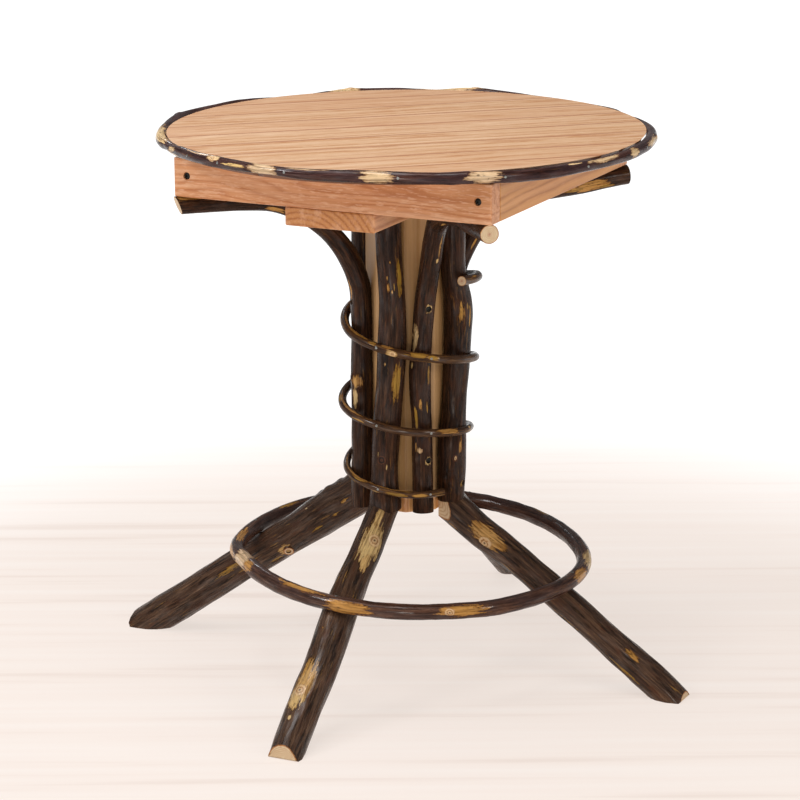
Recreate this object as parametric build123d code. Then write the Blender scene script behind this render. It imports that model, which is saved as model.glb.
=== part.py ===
from build123d import *

import os
from math import cos, degrees, floor, hypot, pi, radians, sin, sqrt, tan

# Rustic hickory table: a round board top on a square apron, carried by a bundle
# of bark-on saplings round an eight-sided post, with four splayed legs.
# Millimetres. +Z up, origin on the floor below the post, -Y is the front.

# --- driving dimensions -----------------------------------------------------
table_height = 1067  # floor to the face of the boards
top_diameter = 914
top_thickness = 25
plank_width = 0.114 * top_diameter
plank_angle = 42  # run of the boards, from +X
plank_joint_offset = 0.41 * plank_width  # distance of one board joint from the centre

rim_diameter = 21  # bark twig bent round the edge
rim_drop = 7.5  # twig centre below the face of the boards
rim_seat = 2  # depth of the flat shaved on its back
rim_joint_angles = (47, 226)  # scarf joints between the two lengths
rim_scarf_length = 100
rim_nail_count = 16
rim_nail_first = 8  # angle of the first nail
rim_nail_length = 45

apron_side = 0.711 * top_diameter
apron_height = 75
apron_thickness = 38
apron_screw_inset = 27  # from the end of the front and back boards
apron_screw_drop = 34  # below the underside of the top
apron_screw_length = 75
top_screw_spread = 200  # from the middle of each apron board
top_screw_recess = 45  # depth of the bore that hides the head
top_screw_bite = 17  # length held in the boards

batten_width = 184
batten_thickness = 35
batten_screw_spread = 55
batten_screw_length = 70

core_width = 148  # across the flats
core_bottom = 325
block_height = 38  # oak block that the legs are bolted to
core_bolt_spread = 35
core_bolt_length = 110

sapling_flat = 1.5  # depth of the flat where a sapling lies on the post
sapling_diameters = {"front": 52, "right": 54, "back": 48, "left": 42}
sapling_shift = {"front": 9, "right": 9, "back": -4, "left": 0}
sapling_bottom = 343
sapling_screw_shares = (0.935, 0.092)  # heights, as shares of the post

brace_diameter = 38
brace_seat = 1.5  # flat where the brace meets the apron
brace_bottom = 325
brace_bend_radius = 235
brace_end_inset = 10  # back from the corner of the apron
brace_screw_shares = (0.183, 0.68)
brace_end_screw_inset = 30
brace_end_screw_length = 60

leg_spreads = {"front": 585, "right": 564, "back": 618, "left": 576}
leg_overruns = {"front": 14, "right": 23, "back": -10, "left": 27}  # sole past the axis
leg_angles = {"front": -87.5, "right": 0.2, "back": 93.9, "left": 184.7}
leg_diameters = {"front": 63, "right": 58, "back": 58, "left": 68}
leg_heads = {"front": 356, "right": 367, "back": 366, "left": 372}
leg_head_shift = {"front": -5, "right": 0, "back": 0, "left": 0}
leg_tip_width = 33  # of the trimmed upper end
leg_trim_angle = 25
leg_bolt_reach = 46  # from the face of the block to the bolt head
leg_bolt_length = 95
leg_bolt_pitch = 40  # climb of the bolt, degrees

hoop_diameter = 686
hoop_thickness = 30
hoop_shift = (9, -2)  # the hoop sits a little off the post
hoop_seats = {"front": 2.5, "right": 5, "back": 8, "left": 2.5}  # depth of the notch
hoop_nail_length = 52

spiral_thickness = 17
spiral_step = 44  # degrees between corners of the bent run
# Turn angle, height as a share of the post and radius, from the upper end down.
spiral_route = [
    (-13, 0.761, 134), (26, 0.748, 137), (116, 0.68, 130), (206, 0.608, 121),
    (296, 0.54, 131), (386, 0.483, 132), (476, 0.414, 128), (566, 0.344, 127),
    (656, 0.292, 131), (720, 0.265, 129), (746, 0.252, 125), (836, 0.191, 126),
    (926, 0.129, 119), (1016, 0.082, 130), (1050, 0.079, 122),
]  # fmt: skip
spiral_nail_angles = (270, 315, 450, 630, 675, 810, 990, 1035)
spiral_nail_length = 34

nail_head, nail_head_height, nail_shank = 6, 1.2, 2.6
nail_proud = 0.6
screw_head, screw_head_height, screw_shank = 9, 4, 5
screw_recess = 12
screw_recess_depth = 6
screw_bite = 20  # length past the pole that it holds
bolt_head, bolt_head_height, bolt_shank = 15, 6, 9.5
washer_diameter, washer_thickness = 25, 2
bolt_recess = 27
drill_clearance = 0.2  # on the diameter of every bore
bore_run_out = 60  # length of a recess past the surface

# --- places worked out from them ----------------------------------------------
top_radius = top_diameter / 2
top_underside = table_height - top_thickness
apron_bottom = top_underside - apron_height
batten_bottom = apron_bottom - batten_thickness
core_flat = core_width / 2
block_top = core_bottom + block_height
far = 2 * top_diameter
side_angles = {"front": -90, "right": 0, "back": 90, "left": 180}
corner_angles = {"front_right": -45, "back_right": 45, "back_left": 135, "front_left": 225}


# --- helpers ------------------------------------------------------------------
def polar(radius, angle, height=0.0):
    """Point at a radius and an angle in degrees round the Z axis."""
    return Vector(radius * cos(radians(angle)), radius * sin(radians(angle)), height)


def placed(shape, point, direction):
    """Shape drawn along +Z, set at a point and turned along a direction."""
    return Plane(origin=point, z_dir=direction).location * shape


def rod(diameter, start, end):
    """Round bar between two points."""
    run = Vector(*end) - Vector(*start)
    bar = Cylinder(diameter / 2, run.length, align=(Align.CENTER, Align.CENTER, Align.MIN))
    return placed(bar, start, run)


def upright(diameter, height, start=0.0):
    """Round bar along +Z from a start height."""
    bar = Cylinder(diameter / 2, height, align=(Align.CENTER, Align.CENTER, Align.MIN))
    return Pos(0, 0, start) * bar


def slab(width, depth, low, high):
    """Block centred on the Z axis between two heights."""
    box = Box(width, depth, high - low, align=(Align.CENTER, Align.CENTER, Align.MIN))
    return Pos(0, 0, low) * box


def group(shapes):
    """Like parts as one group of separate solids."""
    return Compound(children=[s.solids()[0] for s in shapes])


def main_solid(shape):
    """The largest solid that a cut leaves."""
    return shape.solids().sort_by(SortBy.VOLUME)[-1]


# --- fasteners, drawn from the outer face of the head along +Z -------------------
def nail(length):
    return upright(nail_head, nail_head_height) + upright(nail_shank, length)


def nail_bore(length):
    head = upright(nail_head + drill_clearance, nail_head_height + nail_head, -nail_head)
    return head + upright(nail_shank + drill_clearance, length + 1)


def screw(length):
    drive = slab(screw_head / 3, screw_head / 3, 0, screw_head_height / 2)
    return upright(screw_head, screw_head_height) - drive + upright(
        screw_shank, length - screw_head_height, screw_head_height
    )


def screw_bore(length):
    recess = upright(screw_recess, bore_run_out + screw_head_height, -bore_run_out)
    return recess + upright(screw_shank + drill_clearance, length + 1)


def bolt(length):
    """Hexagon lag bolt with its washer."""
    head = extrude(RegularPolygon(bolt_head / 2, 6), bolt_head_height)
    washer = upright(washer_diameter, washer_thickness, bolt_head_height)
    return head + washer + upright(bolt_shank, length - bolt_head_height, bolt_head_height)


def bolt_bore(length):
    seat = bolt_head_height + washer_thickness
    recess = upright(bolt_recess, bore_run_out + seat, -bore_run_out)
    return recess + upright(bolt_shank + drill_clearance, length + 1)


class Fixings:
    """A group of like fasteners and the bores that they need."""

    def __init__(self, make, make_bore, length):
        self.make, self.make_bore, self.length = make, make_bore, length
        self.solids, self.bores = [], []

    def add(self, point, direction):
        self.solids.append(placed(self.make(self.length), point, direction))
        self.bores.append(placed(self.make_bore(self.length), point, direction))


def drilled(part, *groups):
    """Part with the bores of each group of fasteners that reaches it."""
    box = part.bounding_box()
    tools = []
    for fixings in groups:
        for bore in fixings.bores:
            other = bore.bounding_box()
            apart = (
                other.min.X > box.max.X or other.max.X < box.min.X
                or other.min.Y > box.max.Y or other.max.Y < box.min.Y
                or other.min.Z > box.max.Z or other.max.Z < box.min.Z
            )  # fmt: skip
            if not apart:
                tools.append(bore)
    return main_solid(part - tools) if tools else part


# --- top -----------------------------------------------------------------------
def top_boards():
    """Edge-glued boards cut to a round."""
    disc = upright(top_diameter, top_thickness, top_underside)
    first = floor((-top_radius - plank_joint_offset) / plank_width)
    boards = []
    low = plank_joint_offset + first * plank_width
    while low < top_radius:
        strip = slab(far, plank_width, top_underside, table_height)
        strip = Rot(0, 0, plank_angle) * Pos(0, low + plank_width / 2, 0) * strip
        if low + plank_width > -top_radius:
            boards.append(main_solid(disc & strip))
        low += plank_width
    return boards


def rim_region():
    """Plan area of the front length of rim, with a long scarf at each end."""
    right, left = rim_joint_angles
    half = degrees(rim_scarf_length / 2 / top_radius)
    inner, outer = top_radius - 1, top_radius + rim_diameter
    ends = [
        polar(inner, right - half), polar(outer, right + half), polar(far, right + half),
        polar(far, right - 60), polar(far, right - 120), polar(far, left - 360 + 40),
        polar(far, left - half), polar(outer, left - half), polar(inner, left + half),
    ]  # fmt: skip
    outline = make_face(Polyline([(0, 0, 0)] + [tuple(p) for p in ends], close=True))
    return extrude(outline, 2 * table_height)


def rim_twigs():
    """Two lengths of twig, flat where they lie on the edge of the boards."""
    middle = top_radius + rim_diameter / 2 - rim_seat
    ring = Pos(0, 0, table_height - rim_drop) * Torus(middle, rim_diameter / 2)
    ring -= upright(top_diameter, 4 * rim_diameter, table_height - 2 * rim_diameter)
    region = rim_region()
    return main_solid(ring & region), main_solid(ring - region)


def rim_nail_fixings():
    fixings = Fixings(nail, nail_bore, rim_nail_length)
    reach = top_radius + rim_diameter - rim_seat + nail_proud
    for i in range(rim_nail_count):
        angle = rim_nail_first + i * 360 / rim_nail_count
        point = polar(reach, angle, table_height - rim_drop - 1)
        fixings.add(point, -polar(1, angle))
    return fixings


# --- apron and batten -------------------------------------------------------------
def apron_boards():
    """Front and back boards run through, side boards fit between them."""
    middle = (apron_side - apron_thickness) / 2
    long_board = slab(apron_side, apron_thickness, apron_bottom, top_underside)
    short_board = slab(apron_thickness, apron_side - 2 * apron_thickness, apron_bottom, top_underside)
    return {
        "front": Pos(0, -middle, 0) * long_board,
        "back": Pos(0, middle, 0) * long_board,
        "right": Pos(middle, 0, 0) * short_board,
        "left": Pos(-middle, 0, 0) * short_board,
    }


def apron_screw_fixings():
    """One black screw at each end of the front and back boards."""
    fixings = Fixings(screw, screw_bore, apron_screw_length)
    across = apron_side / 2 - apron_screw_inset
    height = top_underside - apron_screw_drop
    face = apron_side / 2 - screw_recess_depth
    for x in (-across, across):
        fixings.add(Vector(x, -face, height), Vector(0, 1, 0))
        fixings.add(Vector(x, face, height), Vector(0, -1, 0))
    return fixings


def top_screw_fixings():
    """Screws up through the apron boards into the top."""
    length = apron_height - top_screw_recess + top_screw_bite
    fixings = Fixings(screw, screw_bore, length)
    middle = (apron_side - apron_thickness) / 2
    for angle in side_angles.values():
        for along in (-top_screw_spread, top_screw_spread):
            point = Vector(middle, along, 0).rotate(Axis.Z, angle)
            point = Vector(point.X, point.Y, apron_bottom + top_screw_recess)
            fixings.add(point, Vector(0, 0, 1))
    return fixings


def cleat_batten():
    return slab(batten_width, apron_side, batten_bottom, apron_bottom)


def batten_screw_fixings():
    fixings = Fixings(screw, screw_bore, batten_screw_length)
    middle = (apron_side - apron_thickness) / 2
    for x in (-batten_screw_spread, batten_screw_spread):
        for y in (-middle, middle):
            fixings.add(Vector(x, y, batten_bottom + screw_recess_depth), Vector(0, 0, 1))
    return fixings


# --- post ---------------------------------------------------------------------------
def on_post(share):
    """Height at a share of the post, from its lower end."""
    return core_bottom + share * (batten_bottom - core_bottom)


def octagon(low, high):
    corner = core_flat / cos(pi / 8)
    outline = Rot(0, 0, 22.5) * RegularPolygon(corner, 8)
    return extrude(Pos(0, 0, low) * outline, high - low)


def core_bolt_fixings():
    """Lag bolts down through the batten into the head of the post."""
    fixings = Fixings(bolt, bolt_bore, core_bolt_length)
    seat = apron_bottom + bolt_head_height + washer_thickness
    for x in (-core_bolt_spread, core_bolt_spread):
        for y in (-core_bolt_spread, core_bolt_spread):
            fixings.add(Vector(x, y, seat), Vector(0, 0, -1))
    return fixings


def sapling_place(side):
    """Centre of an upright sapling on its flat of the post."""
    out = core_flat + sapling_diameters[side] / 2 - sapling_flat
    return Vector(out, sapling_shift[side], 0).rotate(Axis.Z, side_angles[side])


def sapling(side):
    place = sapling_place(side)
    height = batten_bottom - sapling_bottom
    return Pos(place.X, place.Y, 0) * upright(sapling_diameters[side], height, sapling_bottom)


def sapling_screw_fixings():
    """Screws near the head of each sapling, and near the foot of three of them."""
    fixings = {}
    for side, angle in side_angles.items():
        fixings[side] = Fixings(screw, screw_bore, sapling_diameters[side] + screw_bite)
        upper, lower = (on_post(share) for share in sapling_screw_shares)
        # The twig is nailed through the foot of the front one.
        heights = [upper] if side == "front" else [upper, lower]
        place = sapling_place(side)
        out = polar(sapling_diameters[side] / 2 - screw_recess_depth, angle)
        for height in heights:
            fixings[side].add(Vector(place.X + out.X, place.Y + out.Y, height), -polar(1, angle))
    return fixings


# --- bent braces ---------------------------------------------------------------------
def brace_out():
    return core_flat + brace_diameter / 2 - sapling_flat


def brace_level():
    return apron_bottom - brace_diameter / 2 + brace_seat


def brace_reach():
    return apron_side / sqrt(2) - brace_end_inset


def brace(angle):
    """Sapling that stands on the post, bends out and runs to an apron corner."""
    out, level, reach = brace_out(), brace_level(), brace_reach()
    bend_start = level - brace_bend_radius
    bend_end = out + brace_bend_radius
    slant = brace_bend_radius * (1 - cos(pi / 4))
    path = Line((out, 0, brace_bottom), (out, 0, bend_start))
    path += ThreePointArc(
        (out, 0, bend_start),
        (out + slant, 0, level - slant),
        (bend_end, 0, level),
    )
    path += Line((bend_end, 0, level), (reach, 0, level))
    section = Plane(origin=(out, 0, brace_bottom), z_dir=(0, 0, 1)) * Circle(brace_diameter / 2)
    bent = sweep(section, path=path)
    bent -= slab(far, far, apron_bottom, table_height)
    return Rot(0, 0, angle) * main_solid(bent)


def brace_screw_fixings():
    fixings = Fixings(screw, screw_bore, brace_diameter + screw_bite)
    face = brace_out() + brace_diameter / 2 - screw_recess_depth
    for angle in corner_angles.values():
        for share in brace_screw_shares:
            fixings.add(polar(face, angle, on_post(share)), -polar(1, angle))
    return fixings


def brace_end_fixings():
    """Screws up through the brace ends into the corners of the apron."""
    fixings = Fixings(screw, screw_bore, brace_end_screw_length)
    low = apron_bottom - brace_diameter + brace_seat + screw_recess_depth
    for angle in corner_angles.values():
        fixings.add(polar(brace_reach() - brace_end_screw_inset, angle, low), Vector(0, 0, 1))
    return fixings


# --- legs ------------------------------------------------------------------------------
def leg_head(side):
    place = Vector(core_flat, leg_head_shift[side], leg_heads[side])
    return place.rotate(Axis.Z, side_angles[side])


def leg_foot(side):
    return polar(leg_spreads[side], leg_angles[side])


def leg_run(side):
    """Direction of the leg axis, from the post down to the floor."""
    return (leg_foot(side) - leg_head(side)).normalized()


def leg_bar(side):
    """Round bar along the leg axis, from inside the post to below the floor."""
    run = leg_run(side)
    end = leg_foot(side) + run * 1.5 * leg_diameters[side]
    return rod(leg_diameters[side], leg_head(side) - run * core_width, end)


def leg_wedge(side):
    """Plan area that both ends of a leg are sawn to, above the floor."""
    reach = leg_foot(side).dot(polar(1, side_angles[side])) + leg_overruns[side]
    half = leg_tip_width / 2
    flare = half + (reach - core_flat) * tan(radians(leg_trim_angle))
    outline = Polyline(
        (core_flat, -half, 0), (reach, -flare, 0), (reach, flare, 0), (core_flat, half, 0), close=True
    )
    return Rot(0, 0, side_angles[side]) * extrude(make_face(outline), table_height)


def leg(side, hoop):
    return main_solid((leg_bar(side) & leg_wedge(side)) - hoop)


def leg_bolt_fixings():
    """Lag bolts from below each leg, up into the oak block."""
    fixings = Fixings(bolt, bolt_bore, leg_bolt_length)
    climb = radians(leg_bolt_pitch)
    for side, angle in side_angles.items():
        entry = core_bottom + block_height / 3 - leg_bolt_reach * tan(climb)
        point = polar(core_flat + leg_bolt_reach, angle, entry)
        direction = polar(-cos(climb), angle, sin(climb))
        fixings.add(point, direction)
    return fixings


# --- hoop ---------------------------------------------------------------------------------
def hoop_crossing(side):
    """Point of the hoop's centre line above the leg that it is nailed to."""
    head, foot = leg_head(side), leg_foot(side)
    plan = Vector(foot.X - head.X, foot.Y - head.Y, 0)
    way = plan.normalized()
    start = Vector(head.X - hoop_shift[0], head.Y - hoop_shift[1], 0)
    along = start.dot(way)
    distance = -along + sqrt(along**2 - start.length**2 + (hoop_diameter / 2) ** 2)
    axis_height = head.Z * (1 - distance / plan.length)
    slope = plan.length / hypot(plan.length, head.Z)
    lift = ((leg_diameters[side] + hoop_thickness) / 2 - hoop_seats[side]) / slope
    return Vector(head.X, head.Y, 0) + way * distance + Vector(0, 0, axis_height + lift)


def hoop_frame():
    """Plane of the hoop, fitted to the four legs that carry it."""
    at = {side: hoop_crossing(side) for side in side_angles}
    slope_x = (at["right"].Z - at["left"].Z) / (at["right"].X - at["left"].X)
    slope_y = (at["back"].Z - at["front"].Z) / (at["back"].Y - at["front"].Y)
    level = sum(p.Z - slope_x * p.X - slope_y * p.Y for p in at.values()) / len(at)
    x, y = hoop_shift
    centre = Vector(x, y, level + slope_x * x + slope_y * y)
    return Plane(origin=centre, z_dir=(-slope_x, -slope_y, 1))


def foot_hoop():
    return hoop_frame().location * Torus(hoop_diameter / 2, hoop_thickness / 2)


def hoop_nail_fixings():
    """One nail through the hoop into each leg, square to the leg."""
    fixings = Fixings(nail, nail_bore, hoop_nail_length)
    plane = hoop_frame()
    for side in side_angles:
        crossing = hoop_crossing(side)
        local = plane.to_local_coords(crossing)
        on_ring = plane.from_local_coords(Vector(local.X, local.Y, 0))
        run = leg_run(side)
        across = Vector(0, 0, 1) - run * run.Z
        into = -across.normalized()
        point = on_ring - into * (hoop_thickness / 2 + nail_proud)
        fixings.add(point, into)
    return fixings


# --- spiral twig ----------------------------------------------------------------------------
def spiral_point(angle, out=0.0, spread=1.0):
    """Point of the twig's centre line at a turn angle, or further out."""
    spans = zip(spiral_route, spiral_route[1:])
    (a, high, wide), (b, low, narrow) = next(s for s in spans if s[0][0] <= angle <= s[1][0])
    part = (angle - a) / (b - a)
    radius = wide + (narrow - wide) * part
    return polar(radius * spread + out, angle, on_post(high + (low - high) * part))


def spiral_twig():
    """Twig wound round the saplings, as short straights joined by large arcs."""
    first, last = spiral_route[0][0], spiral_route[-1][0]
    count = round((last - first) / spiral_step)
    step = (last - first) / count
    spread = 1 / cos(radians(step / 2))
    corners = [spiral_point(first + (i + 0.5) * step, spread=spread) for i in range(count)]
    radii = [0.85 * hypot(p.X, p.Y) / spread for p in corners]
    path = FilletPolyline(spiral_point(first), *corners, spiral_point(last), radius=radii)
    start = path.edges()[0]
    section = Plane(origin=start @ 0, z_dir=start % 0) * Circle(spiral_thickness / 2)
    return sweep(section, path=path)


def spiral_nail_fixings():
    fixings = Fixings(nail, nail_bore, spiral_nail_length)
    for angle in spiral_nail_angles:
        fixings.add(spiral_point(angle, spiral_thickness / 2 + nail_proud), -polar(1, angle))
    return fixings


# --- assembly ---------------------------------------------------------------------------------
def build():
    rim_nails = rim_nail_fixings()
    apron_screws = apron_screw_fixings()
    top_screws = top_screw_fixings()
    batten_screws = batten_screw_fixings()
    core_bolts = core_bolt_fixings()
    sapling_screws = sapling_screw_fixings()
    brace_screws = brace_screw_fixings()
    brace_end_screws = brace_end_fixings()
    leg_bolts = leg_bolt_fixings()
    hoop_nails = hoop_nail_fixings()
    spiral_nails = spiral_nail_fixings()
    hoop = foot_hoop()
    twig = main_solid(spiral_twig())

    parts = {}
    for i, board in enumerate(top_boards()):
        parts[f"top_board_{i + 1}"] = drilled(board, rim_nails, top_screws)
    for name, length in zip(("rim_twig_front", "rim_twig_back"), rim_twigs()):
        parts[name] = drilled(length, rim_nails)
    for side, board in apron_boards().items():
        parts[f"apron_{side}"] = drilled(
            board, apron_screws, top_screws, batten_screws, brace_end_screws
        )
    parts["cleat_batten"] = drilled(cleat_batten(), batten_screws, core_bolts)

    sapling_bores = list(sapling_screws.values())
    parts["core_post"] = drilled(
        octagon(block_top, batten_bottom), core_bolts, brace_screws, leg_bolts, *sapling_bores
    )
    parts["base_block"] = drilled(octagon(core_bottom, block_top), leg_bolts, *sapling_bores)

    legs = {side: leg(side, hoop) for side in side_angles}
    core = octagon(core_bottom, batten_bottom)
    for side in side_angles:
        trunk = sapling(side) - core - legs[side] - twig
        parts[f"sapling_{side}"] = drilled(main_solid(trunk), sapling_screws[side], spiral_nails)
        parts[f"leg_{side}"] = drilled(
            legs[side], leg_bolts, hoop_nails, spiral_nails, sapling_screws[side]
        )
    for name, angle in corner_angles.items():
        bent = main_solid(brace(angle) - core - twig)
        parts[f"brace_{name}"] = drilled(bent, brace_screws, brace_end_screws, spiral_nails)
    parts["foot_hoop"] = drilled(main_solid(hoop), hoop_nails)
    parts["spiral_twig"] = drilled(twig, spiral_nails)

    parts["rim_nails"] = group(rim_nails.solids)
    parts["apron_screws"] = group(apron_screws.solids)
    parts["top_screws"] = group(top_screws.solids)
    parts["batten_screws"] = group(batten_screws.solids)
    parts["post_lag_bolts"] = group(core_bolts.solids)
    parts["sapling_screws"] = group([s for f in sapling_bores for s in f.solids])
    parts["brace_screws"] = group(brace_screws.solids)
    parts["brace_end_screws"] = group(brace_end_screws.solids)
    parts["leg_lag_bolts"] = group(leg_bolts.solids)
    parts["hoop_nails"] = group(hoop_nails.solids)
    parts["spiral_nails"] = group(spiral_nails.solids)
    return parts


os.makedirs("parts", exist_ok=True)
for name, shape in build().items():
    shape.label = name
    export_step(shape, f"parts/{name}.step")
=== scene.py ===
import math

import bmesh
import bpy
import numpy as np
from mathutils import Matrix, Vector, noise
from mathutils.bvhtree import BVHTree


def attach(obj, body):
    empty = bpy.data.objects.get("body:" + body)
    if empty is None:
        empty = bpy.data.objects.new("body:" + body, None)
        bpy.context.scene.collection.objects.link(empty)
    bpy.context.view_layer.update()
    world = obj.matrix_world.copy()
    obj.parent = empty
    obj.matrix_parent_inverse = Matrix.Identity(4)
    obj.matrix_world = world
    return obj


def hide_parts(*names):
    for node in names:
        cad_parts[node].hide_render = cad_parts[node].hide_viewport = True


# Rustic hickory table: bark-on poles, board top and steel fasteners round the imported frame.
# Lengths in the dictionaries are millimetres, angles are degrees.

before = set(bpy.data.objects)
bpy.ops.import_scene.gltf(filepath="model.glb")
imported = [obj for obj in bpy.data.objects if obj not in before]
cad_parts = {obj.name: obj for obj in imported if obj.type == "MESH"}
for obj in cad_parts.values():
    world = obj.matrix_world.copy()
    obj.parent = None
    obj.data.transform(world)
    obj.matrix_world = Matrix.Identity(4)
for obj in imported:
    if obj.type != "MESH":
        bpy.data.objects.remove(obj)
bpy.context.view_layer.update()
mm = 0.001
print("frame loaded,", len(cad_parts), "nodes")


def hexColour(code):
    # sRGB hex to the linear colour that a socket takes
    parts = [int(code[i:i + 2], 16) / 255 for i in (1, 3, 5)]
    return [c / 12.92 if c <= 0.04045 else ((c + 0.055) / 1.055) ** 2.4 for c in parts] + [1.0]


def fillSockets(tree, node, sockets):
    # a socket takes a link, a hex colour or a plain value
    for key, value in sockets.items():
        if isinstance(value, bpy.types.NodeSocket):
            tree.links.new(value, node.inputs[key])
        else:
            node.inputs[key].default_value = hexColour(value) if isinstance(value, str) else value


def addNode(tree, kind, sockets=None, stops=(), **settings):
    # adds a node with its settings, fills its sockets, and gives a ramp its stops in hex or grey
    node = tree.nodes.new("ShaderNode" + kind)
    for key, value in settings.items():
        setattr(node, key, value)
    fillSockets(tree, node, sockets or {})
    if stops:
        elements = node.color_ramp.elements
        while len(elements) < len(stops):
            elements.new(0.5)
        for element, (place, tone) in zip(elements, stops):
            element.position = place
            element.color = hexColour(tone) if isinstance(tone, str) else (tone, tone, tone, 1)
    return node.outputs


def addUp(tree, start, *terms):
    # start plus each pattern times its share
    for pattern, share in terms:
        start = addNode(tree, "Math", {0: pattern, 1: share, 2: start}, operation="MULTIPLY_ADD")[0]
    return start


def addMarks(tree, place, width, length, detail=3.0, roughness=0.55, axis=2, shift=(0, 0, 0)):
    # marks of width by length millimetres, long along one axis of the place
    scale = [1.0, 1.0, 1.0]
    scale[axis] = width / length
    drawn = addNode(tree, "Mapping", {"Vector": place, "Scale": scale, "Location": shift})[0]
    return addNode(tree, "TexNoise", {
        "Vector": drawn, "Scale": 1 / (width * mm), "Detail": detail, "Roughness": roughness})["Fac"]


def layOver(tree, under, over, pattern, stops):
    # lays one colour over another, as far as the stops let the pattern through
    shown = addNode(tree, "ValToRGB", {"Fac": pattern}, stops)["Color"]
    return addNode(tree, "Mix", {0: shown, 6: under, 7: over}, data_type="RGBA")[2]


def newMaterial(name):
    material = bpy.data.materials.new(name)
    material.use_nodes = True
    return material, material.node_tree


def dressSurface(tree, sockets, height=None, strength=0.2, depth=0.5):
    # fills the shader's sockets, and raises the surface by up to depth millimetres
    if height is not None:
        sockets["Normal"] = addNode(tree, "Bump", {
            "Height": height, "Strength": strength, "Distance": depth * mm})[0]
    fillSockets(tree, tree.nodes["Principled BSDF"], sockets)


def makeBark(name, look):
    # Hickory bark under satin lacquer: dark fibres along the pole, bare tan wood where it has peeled
    material, tree = newMaterial(name)
    place = addNode(tree, "Attribute", attribute_name="grainPlace")["Vector"]
    bare, tone, ring = (
        addNode(tree, "Attribute", attribute_name=key)["Fac"] for key in ("bare", "tone", "knotRing"))

    fibre = addMarks(tree, place, look["fibre"], look["fibre"] * 16, 6.0, 0.75)  # drawn coarser to show
    flake = addMarks(tree, place, look["flake"], look["flake"] * 4, 6.0, 0.72)
    broad = addMarks(tree, place, 26, 110, 2.0)
    furrow = addMarks(tree, place, look["furrow"], look["furrow"] * 8, 4.0, 0.65, shift=(5, 2, 1))
    bark = addNode(tree, "ValToRGB", {"Fac": fibre}, look["fibreStops"])["Color"]
    bark = layOver(tree, bark, look["warm"], flake, [(0.5, 0), (0.62, look["warmShare"])])
    bark = layOver(tree, bark, look["grey"], broad, [(0.42, 0), (0.6, look["greyShare"])])
    cracked = addNode(tree, "ValToRGB", {"Fac": furrow}, [(0.36, look["crackShare"]), (0.46, 0)])["Color"]
    bark = addNode(tree, "Mix", {0: cracked, 6: bark, 7: "#0b0604"}, data_type="RGBA")[2]
    # golden threads where the outer bark is worn, in loose groups
    thread = addMarks(tree, place, 4, 46, 4.0, 0.6, shift=(1, 9, 4))
    threads = layOver(tree, bark, look["thread"], thread, [(0.6, 0), (0.66, look["threadShare"])])
    group = addMarks(tree, place, 30, 90, 1.0, shift=(3, 3, 8))
    bark = layOver(tree, bark, threads, group, [(0.5, 0), (0.62, 1)])

    # ragged edge of each bare patch: streaky along the pole and finely torn
    torn = addMarks(tree, place, look["tear"], look["tear"] * 11, 5.0, 0.65)
    crumb = addMarks(tree, place, 4, 7, 3.0)
    edge = addUp(tree, -3.3, (torn, 5.0), (bare, 1.0), (crumb, 1.6))
    bareShare = addNode(tree, "ValToRGB", {"Fac": edge}, [(0, 0), (0.12, 1)])["Color"]

    wood = addNode(tree, "ValToRGB", {"Fac": tone}, [
        (0.0, "#d3b48f"), (0.25, "#d6b67c"), (0.5, "#bd8a4a"), (1.0, "#97752c")])["Color"]
    grain = addMarks(tree, place, 3.5, 60, 4.0, 0.6)
    lines = addNode(tree, "ValToRGB", {"Fac": grain}, [(0.34, "#7d7264"), (0.56, "#ffffff")])["Color"]
    wood = addNode(tree, "Mix", {0: 0.75, 6: wood, 7: lines}, data_type="RGBA", blend_type="MULTIPLY")[2]
    wood = layOver(tree, wood, look["seam"], edge, [(0.05, 0.75), (0.75, 0)])
    islands = addMarks(tree, place, 4, 12, 4.0, 0.6)
    wood = layOver(tree, wood, "#3d2614", islands, [(0.6, 0), (0.66, look["islandShare"])])
    colour = addNode(tree, "Mix", {0: bareShare, 6: bark, 7: wood}, data_type="RGBA")[2]

    # growth rings round a knot, pale on bare wood and rusty on bark, and its dark eye
    turns = addNode(tree, "Math", {0: addUp(tree, 0, (crumb, 7.0), (ring, 13.0))}, operation="SINE")[0]
    turns = addUp(tree, 0.5, (turns, 0.5))
    onWood = [(0.05, "#8f6240"), (0.35, "#c9a277"), (1.0, "#d4b58d")]
    onBark = [(0.4, "#150c08"), (0.8, "#54301c")]
    pale, rusty = (addNode(tree, "ValToRGB", {"Fac": turns}, stops)["Color"] for stops in (onWood, onBark))
    rings = addNode(tree, "Mix", {0: bareShare, 6: rusty, 7: pale}, data_type="RGBA")[2]
    colour = layOver(tree, colour, rings, ring, [(0.04, 0), (0.3, 0.75)])
    colour = layOver(tree, colour, "#3a2112", ring, [(0.78, 0), (0.9, 0.8)])

    rough = [(0.3, look["roughLow"]), (0.7, look["roughHigh"])]
    coat = [(0.45, look["lacquer"] * 0.25), (0.65, look["lacquer"] * 1.25)]  # lacquer pools in places
    pooled = addMarks(tree, place, 16, 50, 3.0, shift=(6, 1, 2))
    height = addUp(tree, 0, (fibre, 1.6), (flake, 1.2), (cracked, -1.0), (bareShare, -0.9))
    dressSurface(tree, {
        "Base Color": colour, "Specular IOR Level": look["shine"], "Coat Roughness": look["lacquerRough"],
        "Roughness": addNode(tree, "ValToRGB", {"Fac": flake}, rough)["Color"],
        "Coat Weight": addNode(tree, "ValToRGB", {"Fac": pooled}, coat)["Color"],
    }, height, look["bump"], 1.6)
    return material


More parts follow.
